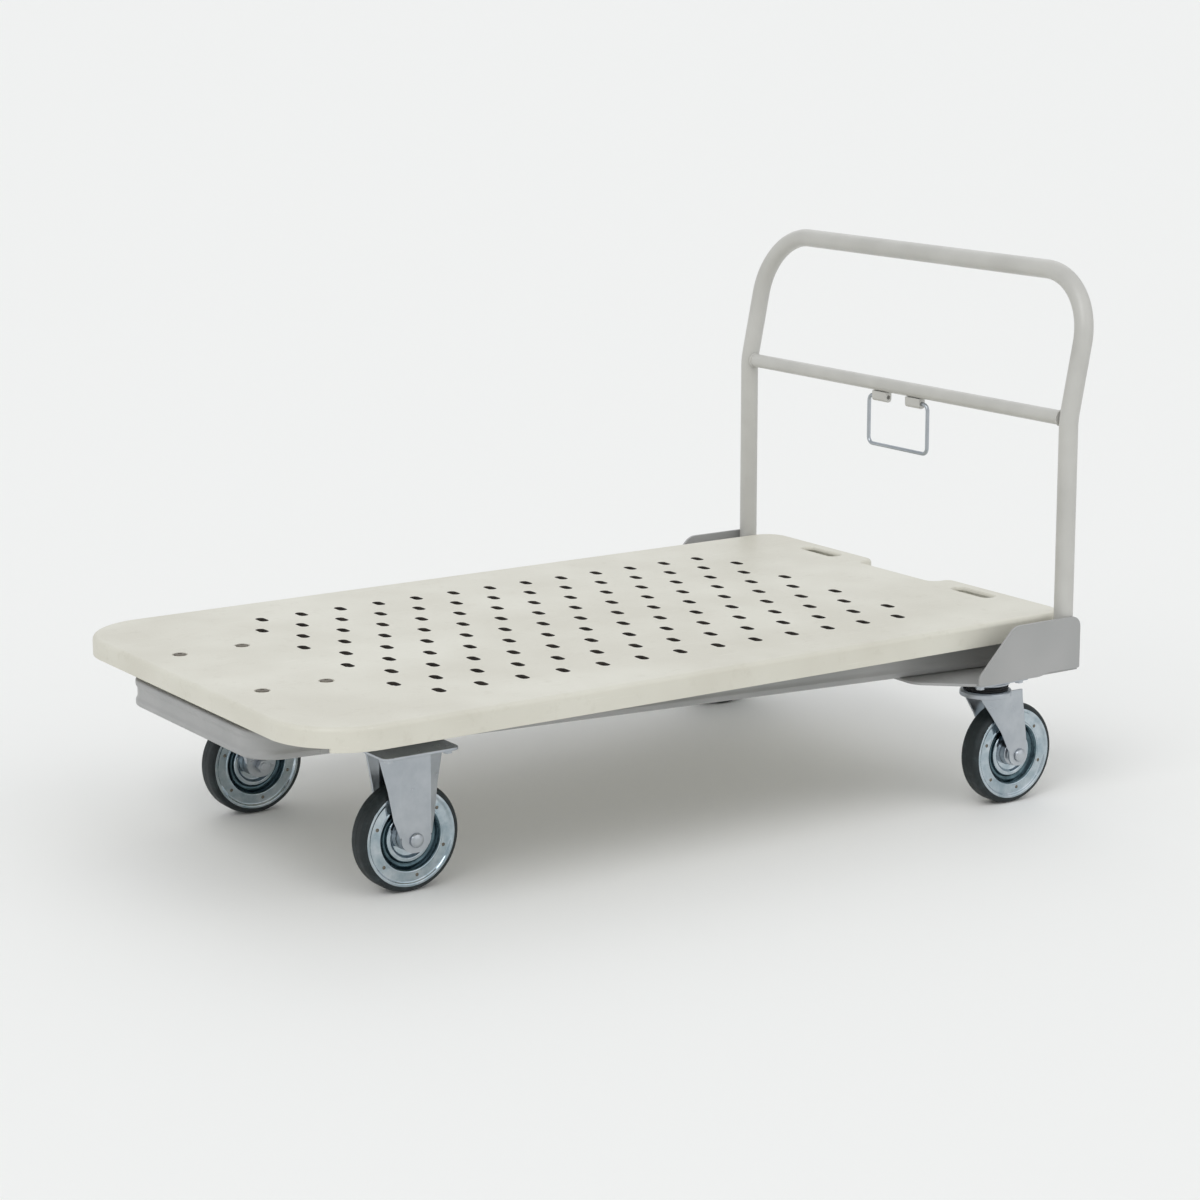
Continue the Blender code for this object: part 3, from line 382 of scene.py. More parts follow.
plasticFinish = makePolypropylene()
holeShadeFinish = makeHoleShadeAndDirt()
frameFinish = makeEnamel(greyEnamel)
tubeFinish = makeEnamel(tubeEnamel)
zincFinish = makePlate(zincPlate)
dullShadeFinish = makePlate(dullZincAndShade)
chromeFinish = makePlate(chromePlate)
bowlShadeFinish = makePlate(bowlShadePlate)
tyreFinish = makeRubber(tyreRubber)
bufferFinish = makeRubber(bufferRubber)
print("finishes made")


# middle of a node's box
def middleOf(node):
    low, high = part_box(node)
    return (low + high) / 2


# adds one shape to another
def putInto(target, source):
    spare = bpy.data.meshes.new("spare")
    source.to_mesh(spare)
    source.free()
    target.from_mesh(spare)
    bpy.data.meshes.remove(spare)


# a flat face from corners (a, b, how far the rounding reaches along each side)
def outlineFace(corners, place, steps=5):
    bm = bmesh.new()
    verts = [bm.verts.new(place(a, b)) for a, b, reach in corners]
    bm.faces.new(verts)
    for vert, (a, b, reach) in zip(verts, corners):
        if reach:
            bmesh.ops.bevel(
                bm, geom=[vert], offset=reach, offset_type="OFFSET", affect="VERTICES",
                segments=steps, profile=0.5, material=-1,
            )
    return bm


# the edges go in too, so that no face is left inside
def pushFace(bm, faces, step):
    edges = list({edge for face in faces for edge in face.edges})
    made = bmesh.ops.extrude_face_region(bm, geom=faces + edges)
    moved = [part for part in made["geom"] if isinstance(part, bmesh.types.BMVert)]
    bmesh.ops.translate(bm, verts=moved, vec=step)
    return [part for part in made["geom"] if isinstance(part, bmesh.types.BMFace)]


def roundEdges(bm, edges, radius, steps=3):
    bmesh.ops.bevel(
        bm, geom=edges, offset=radius, offset_type="OFFSET", affect="EDGES",
        segments=steps, profile=0.5, clamp_overlap=True, material=-1,
    )


def sharpEdges(bm, degrees=50):
    limit = math.radians(degrees)
    return [edge for edge in bm.edges if len(edge.link_faces) == 2 and edge.calc_face_angle(0) > limit]


# a plate with rounded corners and softened edges
def plateShape(corners, place, step, edge, steps=5):
    bm = outlineFace(corners, place, steps)
    pushFace(bm, bm.faces[:], step)
    bmesh.ops.recalc_face_normals(bm, faces=bm.faces)
    if edge:
        roundEdges(bm, sharpEdges(bm), edge)
    return bm


# turns a section of (along, radius, rounding) corners about X, or about Z
def turnedShape(section, centre, segments=64, axis="X"):
    bm = outlineFace(section, lambda along, radius: (along, 0, radius), 4)
    bmesh.ops.delete(bm, geom=bm.faces[:], context="FACES_ONLY")
    onAxis = [edge for edge in bm.edges if all(abs(vert.co.z) < 1e-7 for vert in edge.verts)]
    bmesh.ops.delete(bm, geom=onAxis, context="EDGES")
    bmesh.ops.spin(
        bm, geom=bm.verts[:] + bm.edges[:], cent=(0, 0, 0), axis=(1, 0, 0),
        angle=math.tau, steps=segments, use_merge=True,
    )
    bmesh.ops.remove_doubles(bm, verts=bm.verts, dist=0.000005)
    if axis == "Z":
        bmesh.ops.rotate(bm, verts=bm.verts, cent=(0, 0, 0), matrix=Matrix.Rotation(-math.pi / 2, 3, "Y"))
    bmesh.ops.translate(bm, verts=bm.verts, vec=centre)
    return bm


def flipSide(bm, side):
    if side < 0:
        bmesh.ops.scale(bm, verts=bm.verts, vec=(-1, 1, 1))
    return bm


# joins or cuts a shape with another
def booleanOf(bm, tool, operation):
    things = []
    for label, shape in (("work", bm), ("tool", tool)):
        bmesh.ops.recalc_face_normals(shape, faces=shape.faces)
        mesh = bpy.data.meshes.new(label)
        shape.to_mesh(mesh)
        shape.free()
        mesh.materials.append(plasticFinish)
        mesh.materials.append(holeShadeFinish)
        thing = bpy.data.objects.new(label, mesh)
        scene.collection.objects.link(thing)
        things.append(thing)
    change = things[0].modifiers.new("change", "BOOLEAN")
    change.object = things[1]
    change.operation = operation
    change.solver = "EXACT"
    bpy.context.view_layer.update()
    result = bpy.data.meshes.new_from_object(things[0].evaluated_get(bpy.context.evaluated_depsgraph_get()))
    made = bmesh.new()
    made.from_mesh(result)
    for thing in things:
        bpy.data.meshes.remove(thing.data)
    bpy.data.meshes.remove(result)
    return made


# a round bore along X, right through a block
def boredThrough(bm, lowX, highX, radius, centre, segments):
    past = 0.01
    section = [(lowX - past, 0, 0), (lowX - past, radius, 0), (highX + past, radius, 0), (highX + past, 0, 0)]
    bm = booleanOf(bm, turnedShape(section, centre, segments), "DIFFERENCE")
    for face in bm.faces:
        face.material_index = 0
    return bm


# a round wire or tube along a route
def wireShape(route, radius, steps=6):
    curve = bpy.data.curves.new("wire", "CURVE")
    curve.dimensions = "3D"
    curve.bevel_depth = radius
    curve.bevel_resolution = steps
    curve.use_fill_caps = True
    spline = curve.splines.new("POLY")
    spline.points.add(len(route) - 1)
    for knot, point in zip(spline.points, route):
        knot.co = (*point, 1)
    thing = bpy.data.objects.new("wire", curve)
    scene.collection.objects.link(thing)
    bpy.context.view_layer.update()
    mesh = bpy.data.meshes.new_from_object(thing.evaluated_get(bpy.context.evaluated_depsgraph_get()))
    bm = bmesh.new()
    bm.from_mesh(mesh)
    bpy.data.meshes.remove(mesh)
    bpy.data.objects.remove(thing, do_unlink=True)
    bpy.data.curves.remove(curve)
    bmesh.ops.remove_doubles(bm, verts=bm.verts, dist=0.00001)
    return bm


# makes the object, rides it on its body and lets it stand for its CAD nodes
def finishPiece(name, bm, finish, body, slotName, *nodes, angle=32):
    bmesh.ops.remove_doubles(bm, verts=bm.verts, dist=0.00001)
    bmesh.ops.recalc_face_normals(bm, faces=bm.faces)
    mesh = bpy.data.meshes.new(name)
    bm.to_mesh(mesh)
    bm.free()
    for material in (finish if isinstance(finish, tuple) else (finish,)):
        mesh.materials.append(material)
    mesh.shade_smooth()
    mesh.set_sharp_from_angle(angle=math.radians(angle))
    piece = bpy.data.objects.new(name, mesh)
    scene.collection.objects.link(piece)
    evened = piece.modifiers.new("evenNormals", "WEIGHTED_NORMAL")
    evened.keep_sharp = True
    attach(piece, body)
    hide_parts(*nodes)
    return piece


# points along an arc in the plane of two unit directions
def arcPoints(centre, first, second, radius, start, end, steps):
    turns = [start + (end - start) * step / steps for step in range(steps + 1)]
    return [centre + (first * math.cos(turn) + second * math.sin(turn)) * radius for turn in turns]


deck = {
    "plate": 0.005, "wall": 0.0035, "edgeRound": 0.0065,
    "frontCorner": 0.105, "rearCorner": 0.040,
    "recessWidth": 0.180, "recessDepth": 0.034, "recessTip": 0.016, "recessRoot": 0.014,
    "holeLength": 0.023, "holeWidth": 0.012, "holeFlare": 0.0011, "flareDepth": 0.0011,
    "holeRows": 9, "pitchX": 0.0625, "pitchY": 0.065, "perRow": 13, "firstHole": 0.254,
    "slotX": 0.186, "slotFromRear": 0.035, "slotLength": 0.085, "slotWidth": 0.024,
    "slotFlare": 0.0025, "slotFlareDepth": 0.0025,
    "ribThickness": 0.003, "ribDepth": 0.022, "ribX": (0.09375, 0.21875),
    "boltSinkRadius": 0.0105, "boltSink": 0.0015, "boltHole": 0.0043,
    "frontRimCut": 0.006, "frontRimReach": 0.042,
}
deckLow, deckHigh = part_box("deck")
deckTop, deckFront, deckRear = deckHigh.z, deckLow.y, deckHigh.y


# an oval cutter whose mouth flares where it meets the surface
def ovalCutter(length, width, flare, flareDepth, low, top):
    bm = bmesh.new()
    segments = 20
    turn = Matrix.Rotation(math.pi / segments, 4, "Z")
    bmesh.ops.create_circle(
        bm, cap_ends=True, segments=segments, radius=width / 2, matrix=Matrix.Translation((0, 0, low)) @ turn,
    )
    for side in (-1, 1):
        half = [vert for vert in bm.verts if vert.co.x * side > 0]
        bmesh.ops.translate(bm, verts=half, vec=(side * (length - width) / 2, 0, 0))
    mouth = pushFace(bm, bm.faces[:], (0, 0, top - flareDepth - low))
    for rise, spread in ((flareDepth * 0.6, flare * 0.3), (flareDepth * 0.4, flare * 0.7), (0.002, 0.0)):
        mouth = pushFace(bm, mouth, (0, 0, rise))
        verts = list({vert for face in mouth for vert in face.verts})
        reach = max(vert.co.x for vert in verts), max(vert.co.y for vert in verts)
        bmesh.ops.scale(bm, verts=verts, vec=(1 + spread / reach[0], 1 + spread / reach[1], 1))
    # every face of the cutter, its flared mouth too, takes the second material: the painted shade of the hole
    # walls
    for face in bm.faces:
        face.material_index = 1
    return bm


def placeCutters(cutter, places):
    shape = bmesh.new()
    spare = bpy.data.meshes.new("spare")
    cutter.to_mesh(spare)
    cutter.free()
    for x, y in places:
        before = len(shape.verts)
        shape.from_mesh(spare)
        shape.verts.ensure_lookup_table()
        bmesh.ops.translate(shape, verts=shape.verts[before:], vec=(x, y, 0))
    bpy.data.meshes.remove(spare)
    return shape


def makeDeck():
    half = deckHigh.x
    notch, notchY = deck["recessWidth"] / 2, deckRear - deck["recessDepth"]
    right = [
        (half, deckFront, deck["frontCorner"]), (half, deckRear, deck["rearCorner"]),
        (notch, deckRear, deck["recessTip"]), (notch, notchY, deck["recessRoot"]),
    ]
    corners = right + [(-x, y, reach) for x, y, reach in reversed(right)]
    bm = outlineFace(corners, lambda x, y: (x, y, deckLow.z), 16)
    pushFace(bm, bm.faces[:], (0, 0, deckTop - deckLow.z))
    bmesh.ops.recalc_face_normals(bm, faces=bm.faces)
    rim = [edge for edge in sharpEdges(bm) if min(vert.co.z for vert in edge.verts) > deckTop - 0.0001]
    roundEdges(bm, rim, deck["edgeRound"], 6)
    under = [face for face in bm.faces if face.normal.z < -0.9]
    bmesh.ops.inset_region(bm, faces=under, thickness=deck["wall"], use_even_offset=True)
    pushFace(bm, under, (0, 0, deckTop - deck["plate"] - deckLow.z))
    foot = [edge for edge in sharpEdges(bm) if max(vert.co.z for vert in edge.verts) < deckLow.z + 0.0001]
    roundEdges(bm, foot, 0.0008, 2)

    # stiffening ribs under the plate, first across and then along
    plateLow = deckTop - deck["plate"]
    firstY = deckFront + deck["firstHole"] + deck["pitchY"] / 4
    lastY = firstY + (deck["perRow"] - 1) * deck["pitchY"]
    thick = deck["ribThickness"]
    width, everyOther = 2 * half - deck["wall"], range(0, deck["perRow"], 2)
    across = [(0, firstY + index * deck["pitchY"], width, thick) for index in everyOther]
    middleY, length = (firstY + lastY) / 2, lastY - firstY
    along = [(side * x, middleY, thick, length) for x in deck["ribX"] for side in (-1, 1)]
    for spans in (across, along):
        ribs = bmesh.new()
        for x, y, sizeX, sizeY in spans:
            place = Matrix.Translation((x, y, plateLow + 0.001 - deck["ribDepth"] / 2))
            stretch = Matrix.Diagonal((sizeX, sizeY, deck["ribDepth"], 1))
            bmesh.ops.create_cube(ribs, size=1, matrix=place @ stretch)
        bm = booleanOf(bm, ribs, "UNION")

    low = plateLow - 0.004
    places = []
    for row in range(deck["holeRows"]):
        longer = row % 2
        x = (row - (deck["holeRows"] - 1) / 2) * deck["pitchX"]
        for index in range(deck["perRow"] + longer):
            places.append((x, deckFront + deck["firstHole"] + (index - longer / 2) * deck["pitchY"]))
    mouth = (deck["holeFlare"], deck["flareDepth"])
    cutter = ovalCutter(deck["holeLength"], deck["holeWidth"], *mouth, low, deckTop)
    tools = placeCutters(cutter, places)
    mouth = (deck["slotFlare"], deck["slotFlareDepth"])
    cutter = ovalCutter(deck["slotLength"], deck["slotWidth"], *mouth, low, deckTop)
    slotY = deckRear - deck["slotFromRear"]
    for face in cutter.faces:
        face.material_index = 0
    putInto(tools, placeCutters(cutter, [(side * deck["slotX"], slotY) for side in (-1, 1)]))
    for index in range(1, 5):
        middle = middleOf(f"deck_bolt_{index}")
        seat = deckTop - deck["boltSink"]
        section = [
            (low, 0, 0), (low, deck["boltHole"], 0), (seat, deck["boltHole"], 0),
            (seat, deck["boltSinkRadius"], 0), (deckTop + 0.001, deck["boltSinkRadius"] + 0.0008, 0),
            (deckTop + 0.001, 0, 0),
        ]
        sink = turnedShape(section, (middle.x, middle.y, 0), 32, "Z")
        putInto(tools, sink)
    # the rim is shallower across the front, where it leaves a gap over the frame
    past, reach = 0.01, deckFront + deck["frontRimReach"]
    corners = [(-half, deckFront - past, 0), (half, deckFront - past, 0), (half, reach, 0), (-half, reach, 0)]
    rimCut = plateShape(
        corners, lambda x, y: (x, y, deckLow.z - past), (0, 0, past + deck["frontRimCut"]), 0,
    )
    putInto(tools, rimCut)
    bm = booleanOf(bm, tools, "DIFFERENCE")
    # the second material is the painted shade inside the drain holes
    finish = (plasticFinish, holeShadeFinish)
    panel = finishPiece("deckPanel", bm, finish, "deck_platform", "ivory_plastic", "deck", angle=38)
    # the wide level faces stay flat, so that the rounded rim doesn't bend their shading
    for face in panel.data.polygons:
        if abs(face.normal.z) > 0.9999:
            face.use_smooth = False
    print("deck made,", len(places), "drain holes")


makeDeck()


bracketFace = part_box("side_bracket_right")[0].x
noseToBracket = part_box("side_bracket_right")[1].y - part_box("front_nose")[0].y
channel = {
    "flange": 0.025, "sheet": 0.0025, "dish": 0.0025, "lip": 0.008, "lipEnd": 0.013,
    "noseShare": 0.27, "railInsideBracket": 0.058, "bendRadius": 0.050, "noseReturn": 0.100, "joint": 0.0003,
}
channel["noseHalf"] = channel["noseShare"] * 2 * deckHigh.x
channel["splay"] = (bracketFace - channel["railInsideBracket"] - channel["noseHalf"]) / noseToBracket
frameLow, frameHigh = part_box("front_nose")
railLow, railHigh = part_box("side_rail_right")
noseY = frameLow.y


# section corners: (outward from the face line, height, rounding)
def channelSection():
    low, high = frameLow.z, frameHigh.z
    deep, back = -channel["dish"], -channel["flange"]
    inner, sheet = deep - channel["sheet"], channel["sheet"]
    return [
        (back, low, 0.0006), (0, low, 0.0035), (0, low + channel["lip"], 0.0012),
        (deep, low + channel["lipEnd"], 0.0025), (deep, high - channel["lipEnd"], 0.0025),
        (0, high - channel["lip"], 0.0012), (0, high, 0.0035), (back, high, 0.0006),
        (back, high - sheet, 0.0006), (inner, high - sheet, 0.002), (inner, low + sheet, 0.002),
        (back, low + sheet, 0.0006),
    ]


def makeNose():
    bm = outlineFace(channelSection(), lambda out, height: (0, noseY - out, height), 4)
    turn = math.pi / 2 - math.atan(channel["splay"])
    tangent = channel["bendRadius"] * math.tan(turn / 2)
    end = pushFace(bm, bm.faces[:], (channel["noseHalf"] - tangent, 0, 0))
    verts = list({vert for face in end for vert in face.verts})
    edges = list({edge for face in end for edge in face.edges})
    spun = bmesh.ops.spin(
        bm, geom=verts + edges + end, cent=(channel["noseHalf"] - tangent, noseY + channel["bendRadius"], 0),
        axis=(0, 0, 1), angle=turn, steps=18,
    )
    end = [part for part in spun["geom_last"] if isinstance(part, bmesh.types.BMFace)]
    lean = Vector((channel["splay"], 1, 0)).normalized()
    length = (channel["noseReturn"] + deckFront - noseY) / lean.y - tangent
    pushFace(bm, end, lean * length)
    start = [face for face in bm.faces if all(abs(vert.co.x) < 1e-6 for vert in face.verts)]
    bmesh.ops.delete(bm, geom=start, context="FACES")
    bmesh.ops.mirror(bm, geom=bm.verts[:] + bm.edges[:] + bm.faces[:], axis="X", merge_dist=0.00001)
    finishPiece("noseChannel", bm, frameFinish, "frame", "grey_paint", "front_nose")


def railFace(fromFront):
    return channel["noseHalf"] + channel["splay"] * (deckFront + fromFront - noseY)


def makeRails():
    lean = Vector((channel["splay"], 1, 0)).normalized()
    outward = Vector((lean.y, -lean.x, 0))
    near = channel["noseReturn"] + channel["joint"]
    start = Vector((railFace(near), deckFront + near, 0))
    length = (railHigh.y - start.y) / lean.y - 0.0002
    for label, side in sides:
        bm = outlineFace(
            channelSection(), lambda out, height: start + outward * out + Vector((0, 0, height)), 4,
        )
        pushFace(bm, bm.faces[:], lean * length)
        name, node = "railChannel" + label.title(), "side_rail_" + label
        finishPiece(name, flipSide(bm, side), frameFinish, "frame", "grey_paint", node)


makeNose()
makeRails()
print("frame channel made")


hinge = {
    "wall": 0.002, "bodyHalf": 0.018, "earThickness": 0.008, "edge": 0.0012, "boreGap": 0.0004,
    "restRound": 0.004, "restEdge": 0.0015,
}


def makeHinge():
    low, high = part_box("hinge_tube")
    centre, radius = (low + high) / 2, (high.z - low.z) / 2
    section = [
        (low.x, radius - hinge["wall"], 0.0004), (low.x, radius, 0.0006), (high.x, radius, 0.0006),
        (high.x, radius - hinge["wall"], 0.0004),
    ]
    bm = turnedShape(section, (0, centre.y, centre.z), 40)
    finishPiece("hingeCrossTube", bm, frameFinish, "frame", "grey_paint", "hinge_tube")
    for label in ("left", "right"):
        node = "hinge_block_" + label
        low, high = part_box(node)
        y, body = centre.y, hinge["bodyHalf"]
        shoulder = high.z - hinge["earThickness"]
        corners = [
            (low.y, high.z, 0), (high.y, high.z, 0), (high.y, shoulder, 0.003), (y + body, shoulder, 0.005),
            (y + body, low.z, 0.014), (y - body, low.z, 0.014), (y - body, shoulder, 0.005),
            (low.y, shoulder, 0.003),
        ]
        bm = plateShape(corners, lambda a, b: (low.x, a, b), (high.x - low.x, 0, 0), hinge["edge"])
        bm = boredThrough(bm, low.x, high.x, radius + hinge["boreGap"], (0, centre.y, centre.z), 40)
        finishPiece("hingeSaddle" + label.title(), bm, zincFinish, "deck_platform", "zinc_plate", node)
        node = "deck_rest_" + label
        low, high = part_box(node)
        corners = [
            (low.x, low.y, hinge["restRound"]), (high.x, low.y, hinge["restRound"]),
            (high.x, high.y, hinge["restRound"]), (low.x, high.y, hinge["restRound"]),
        ]
        bm = plateShape(corners, lambda a, b: (a, b, low.z), (0, 0, high.z - low.z), hinge["restEdge"])
        finishPiece("deckBuffer" + label.title(), bm, bufferFinish, "frame", "black_rubber", node)


deckBolt = {"headRound": 0.0012, "socket": 0.0028, "socketDepth": 0.0012, "shank": 0.004, "headRadius": 0.009}


def makeDeckBolts():
    for index in range(1, 5):
        node = f"deck_bolt_{index}"
        low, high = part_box(node)
        seat = deckTop - deck["boltSink"] + 0.0003
        radius, shank = deckBolt["headRadius"], deckBolt["shank"]
        section = [
            (low.z, 0, 0), (low.z, shank, 0.0008), (seat, shank, 0), (seat, radius, 0.0003),
            (high.z - 0.0010, radius, deckBolt["headRound"]), (high.z, radius * 0.55, 0.002),
            (high.z, deckBolt["socket"], 0.0003),
            (high.z - deckBolt["socketDepth"], deckBolt["socket"] * 0.9, 0),
            (high.z - deckBolt["socketDepth"], 0, 0),
        ]
        middle = (low + high) / 2
        bm = turnedShape(section, (middle.x, middle.y, 0), 36, "Z")
        # the dull zinc is darkened as painted shade for the bolt heads down in their recesses
        finishPiece(f"deckBolt{index}", bm, dullShadeFinish, "deck_platform", "zinc_plate", node)


makeHinge()
makeDeckBolts()
print("hinge, rests and deck bolts made")


bracket = {
    "step": 0.0035, "stepAt": 0.118, "stepRun": 0.012, "noseHeight": 0.014, "slopeRun": 0.066,
    "rearRound": 0.016, "edge": 0.0009, "lip": 0.028, "padFront": 0.993,
}


def makeBrackets():
    for label, side in sides:
        low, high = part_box("side_bracket_right")
        corners = [
            (low.y, low.z, 0.004), (low.y, low.z + bracket["noseHeight"], 0.006),
            (low.y + bracket["slopeRun"], high.z, 0.010), (high.y, high.z, bracket["rearRound"]),
            (high.y, low.z + bracket["step"], 0.003),
            (low.y + bracket["stepAt"] + bracket["stepRun"], low.z + bracket["step"], 0.006),
            (low.y + bracket["stepAt"], low.z, 0.006),
        ]
        bm = plateShape(corners, lambda a, b: (low.x, a, b), (high.x - low.x, 0, 0), bracket["edge"], 6)
        name, node = "sideBracket" + label.title(), "side_bracket_" + label
        finishPiece(name, flipSide(bm, side), frameFinish, "frame", "grey_paint", node)
        padLow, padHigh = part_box("rear_pad_right")
        fromFront = bracket["padFront"]
        rear = padHigh.y - deckFront
        corners = [
            (railFace(fromFront) - channel["flange"], padLow.y, 0.002),
            (railFace(fromFront) + bracket["lip"], padLow.y, 0.012),
            (padHigh.x, low.y, 0.010), (padHigh.x, padHigh.y, 0.002),
            (railFace(rear) - channel["flange"], padHigh.y, 0.002),
        ]
        bm = plateShape(corners, lambda a, b: (a, b, padLow.z), (0, 0, padHigh.z - padLow.z), bracket["edge"])
        node = "rear_pad_" + label
        finishPiece("rearPad" + label.title(), flipSide(bm, side), frameFinish, "frame", "grey_paint", node)


makeBrackets()
print("brackets made")


handle = {"tube": 0.014, "bendRadius": 0.100, "cornerRadius": 0.100, "beadRadius": 0.0027, "beadScallops": 12}
bail = {"wire": 0.003, "cornerRadius": 0.010, "boreGap": 0.0004, "lugRound": 0.0055, "lugEdge": 0.0008}


def makeHandle():
    low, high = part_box("handle_tube")
    railBottom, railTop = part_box("middle_rail")
    rail = (railBottom + railTop) / 2
    tube = handle["tube"]
    half = high.x - tube
    topY, topZ = high.y - tube, high.z - tube
    lean = Vector((0, topY - rail.y, topZ - rail.z))
    angle = math.atan2(lean.y, lean.z)
    lean.normalize()
    across, up, back = Vector((1, 0, 0)), Vector((0, 0, 1)), Vector((0, 1, 0))
    bend = Vector((-half, rail.y, rail.z))
    reach = handle["bendRadius"] * math.tan(angle / 2)
    route = [Vector((-half, rail.y, low.z))]
    centre = bend - up * reach + back * handle["bendRadius"]
    route += arcPoints(centre, -back, up, handle["bendRadius"], 0, angle, 8)
    corner = Vector((-half, topY, topZ)) - lean * handle["cornerRadius"] + across * handle["cornerRadius"]
    route += arcPoints(corner, -across, lean, handle["cornerRadius"], 0, math.pi / 2, 20)
    route += [Vector((-point.x, point.y, point.z)) for point in reversed(route)]
    bm = wireShape(route, tube, 12)
    finishPiece("handleTube", bm, tubeFinish, "frame", "handle_paint", "handle_tube")

    # middle rail with a weld bead where it meets each upright
    radius = (railTop.z - railBottom.z) / 2
    section = [(railBottom.x, 0, 0), (railBottom.x, radius, 0), (railTop.x, radius, 0), (railTop.x, 0, 0)]
    bm = turnedShape(section, (0, rail.y, rail.z), 40)
    for side in (-1, 1):
        end = side * (railTop.x - 0.0016)
        for step in range(handle["beadScallops"]):
            turn = math.tau * step / handle["beadScallops"]
            blob = bmesh.new()
            place = Matrix.Translation((end, rail.y, rail.z)) @ Matrix.Rotation(turn, 4, "X")
            place = place @ Matrix.Translation((0, 0, radius + 0.0002)) @ Matrix.Diagonal((0.8, 1.45, 0.6, 1))
            bmesh.ops.create_icosphere(blob, subdivisions=2, radius=handle["beadRadius"], matrix=place)
            putInto(bm, blob)
    finishPiece("handleMiddleRail", bm, tubeFinish, "frame", "handle_paint", "middle_rail")


def makeBail():
    low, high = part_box("wire_bail")
    middle = (low + high) / 2
    wire, radius = bail["wire"], bail["cornerRadius"]
    half = high.x - wire
    top, bottom = high.z - wire, low.z + wire
    across, up = Vector((1, 0, 0)), Vector((0, 0, 1))
    lugMiddle = middleOf("bail_lug_left")
    lugLow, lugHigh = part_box("bail_lug_left")
    y = middle.y
    # each end of the wire stops inside its lug
    route = [Vector((lugMiddle.x + (lugHigh.x - lugLow.x) / 4, y, top))]
    route += arcPoints(Vector((-half + radius, y, top - radius)), up, -across, radius, 0, math.pi / 2, 8)
    route += arcPoints(Vector((-half + radius, y, bottom + radius)), -across, -up, radius, 0, math.pi / 2, 8)
    route += [Vector((-point.x, point.y, point.z)) for point in reversed(route)]
    bm = wireShape(route, wire, 8)
    finishPiece("bailWire", bm, zincFinish, "bail", "zinc_plate", "wire_bail")
    for label in ("left", "right"):
        node = "bail_lug_" + label
        low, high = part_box(node)
        edge, rounding = bail["lugEdge"], bail["lugRound"]
        corners = [
            (low.y, high.z, edge), (high.y, high.z, edge),
            (high.y, low.z, rounding), (low.y, low.z, rounding),
        ]
        bm = plateShape(corners, lambda a, b: (low.x, a, b), (high.x - low.x, 0, 0), edge)
        bm = boredThrough(bm, low.x, high.x, wire + bail["boreGap"], (0, y, top), 24)
        finishPiece("bailLug" + label.title(), bm, tubeFinish, "frame", "handle_paint", node)


makeHandle()
makeBail()
print("handle and bail made")


wheel = {
    "tyreBore": 0.048, "bowlDepth": 0.0035, "discRadius": 0.067, "sheet": 0.0015, "gap": 0.0003,
    "shoulder": 0.005,
    "rivets": 6, "rivetCircle": 0.0535, "rivetTurn": 0.70, "bowlShadeFrom": 0.0345, "bowlShadeTo": 0.0462,
    "hubRadius": 0.018, "headRadius": 0.010, "axle": 0.006, "nutRadius": 0.010,
}
# face of the pressed disc: (inward from the tyre's side, radius, rounding)
discFace = [
    (0.0, 0.0670, 0.0004), (0.0, 0.0634, 0.0010), (0.0026, 0.0612, 0.0012), (0.0022, 0.0492, 0.0010),
    (0.0010, 0.0474, 0.0010), (0.0026, 0.0450, 0.0016), (0.0100, 0.0410, 0.0025), (0.0104, 0.0362, 0.0014),
    (0.0052, 0.0340, 0.0014), (0.0044, 0.0286, 0.0012), (0.0094, 0.0262, 0.0014), (0.0098, 0.0184, 0.0003),
]


def discSection(outer, face):
    sheet = wheel["sheet"]
    front = [(face * (outer - inward), radius, soft) for inward, radius, soft in discFace]
    back = [(face * (outer - inward - sheet), radius, soft) for inward, radius, soft in reversed(discFace)]
    return front + back


def titleOf(label):
    return "".join(word.title() for word in label.split("_"))


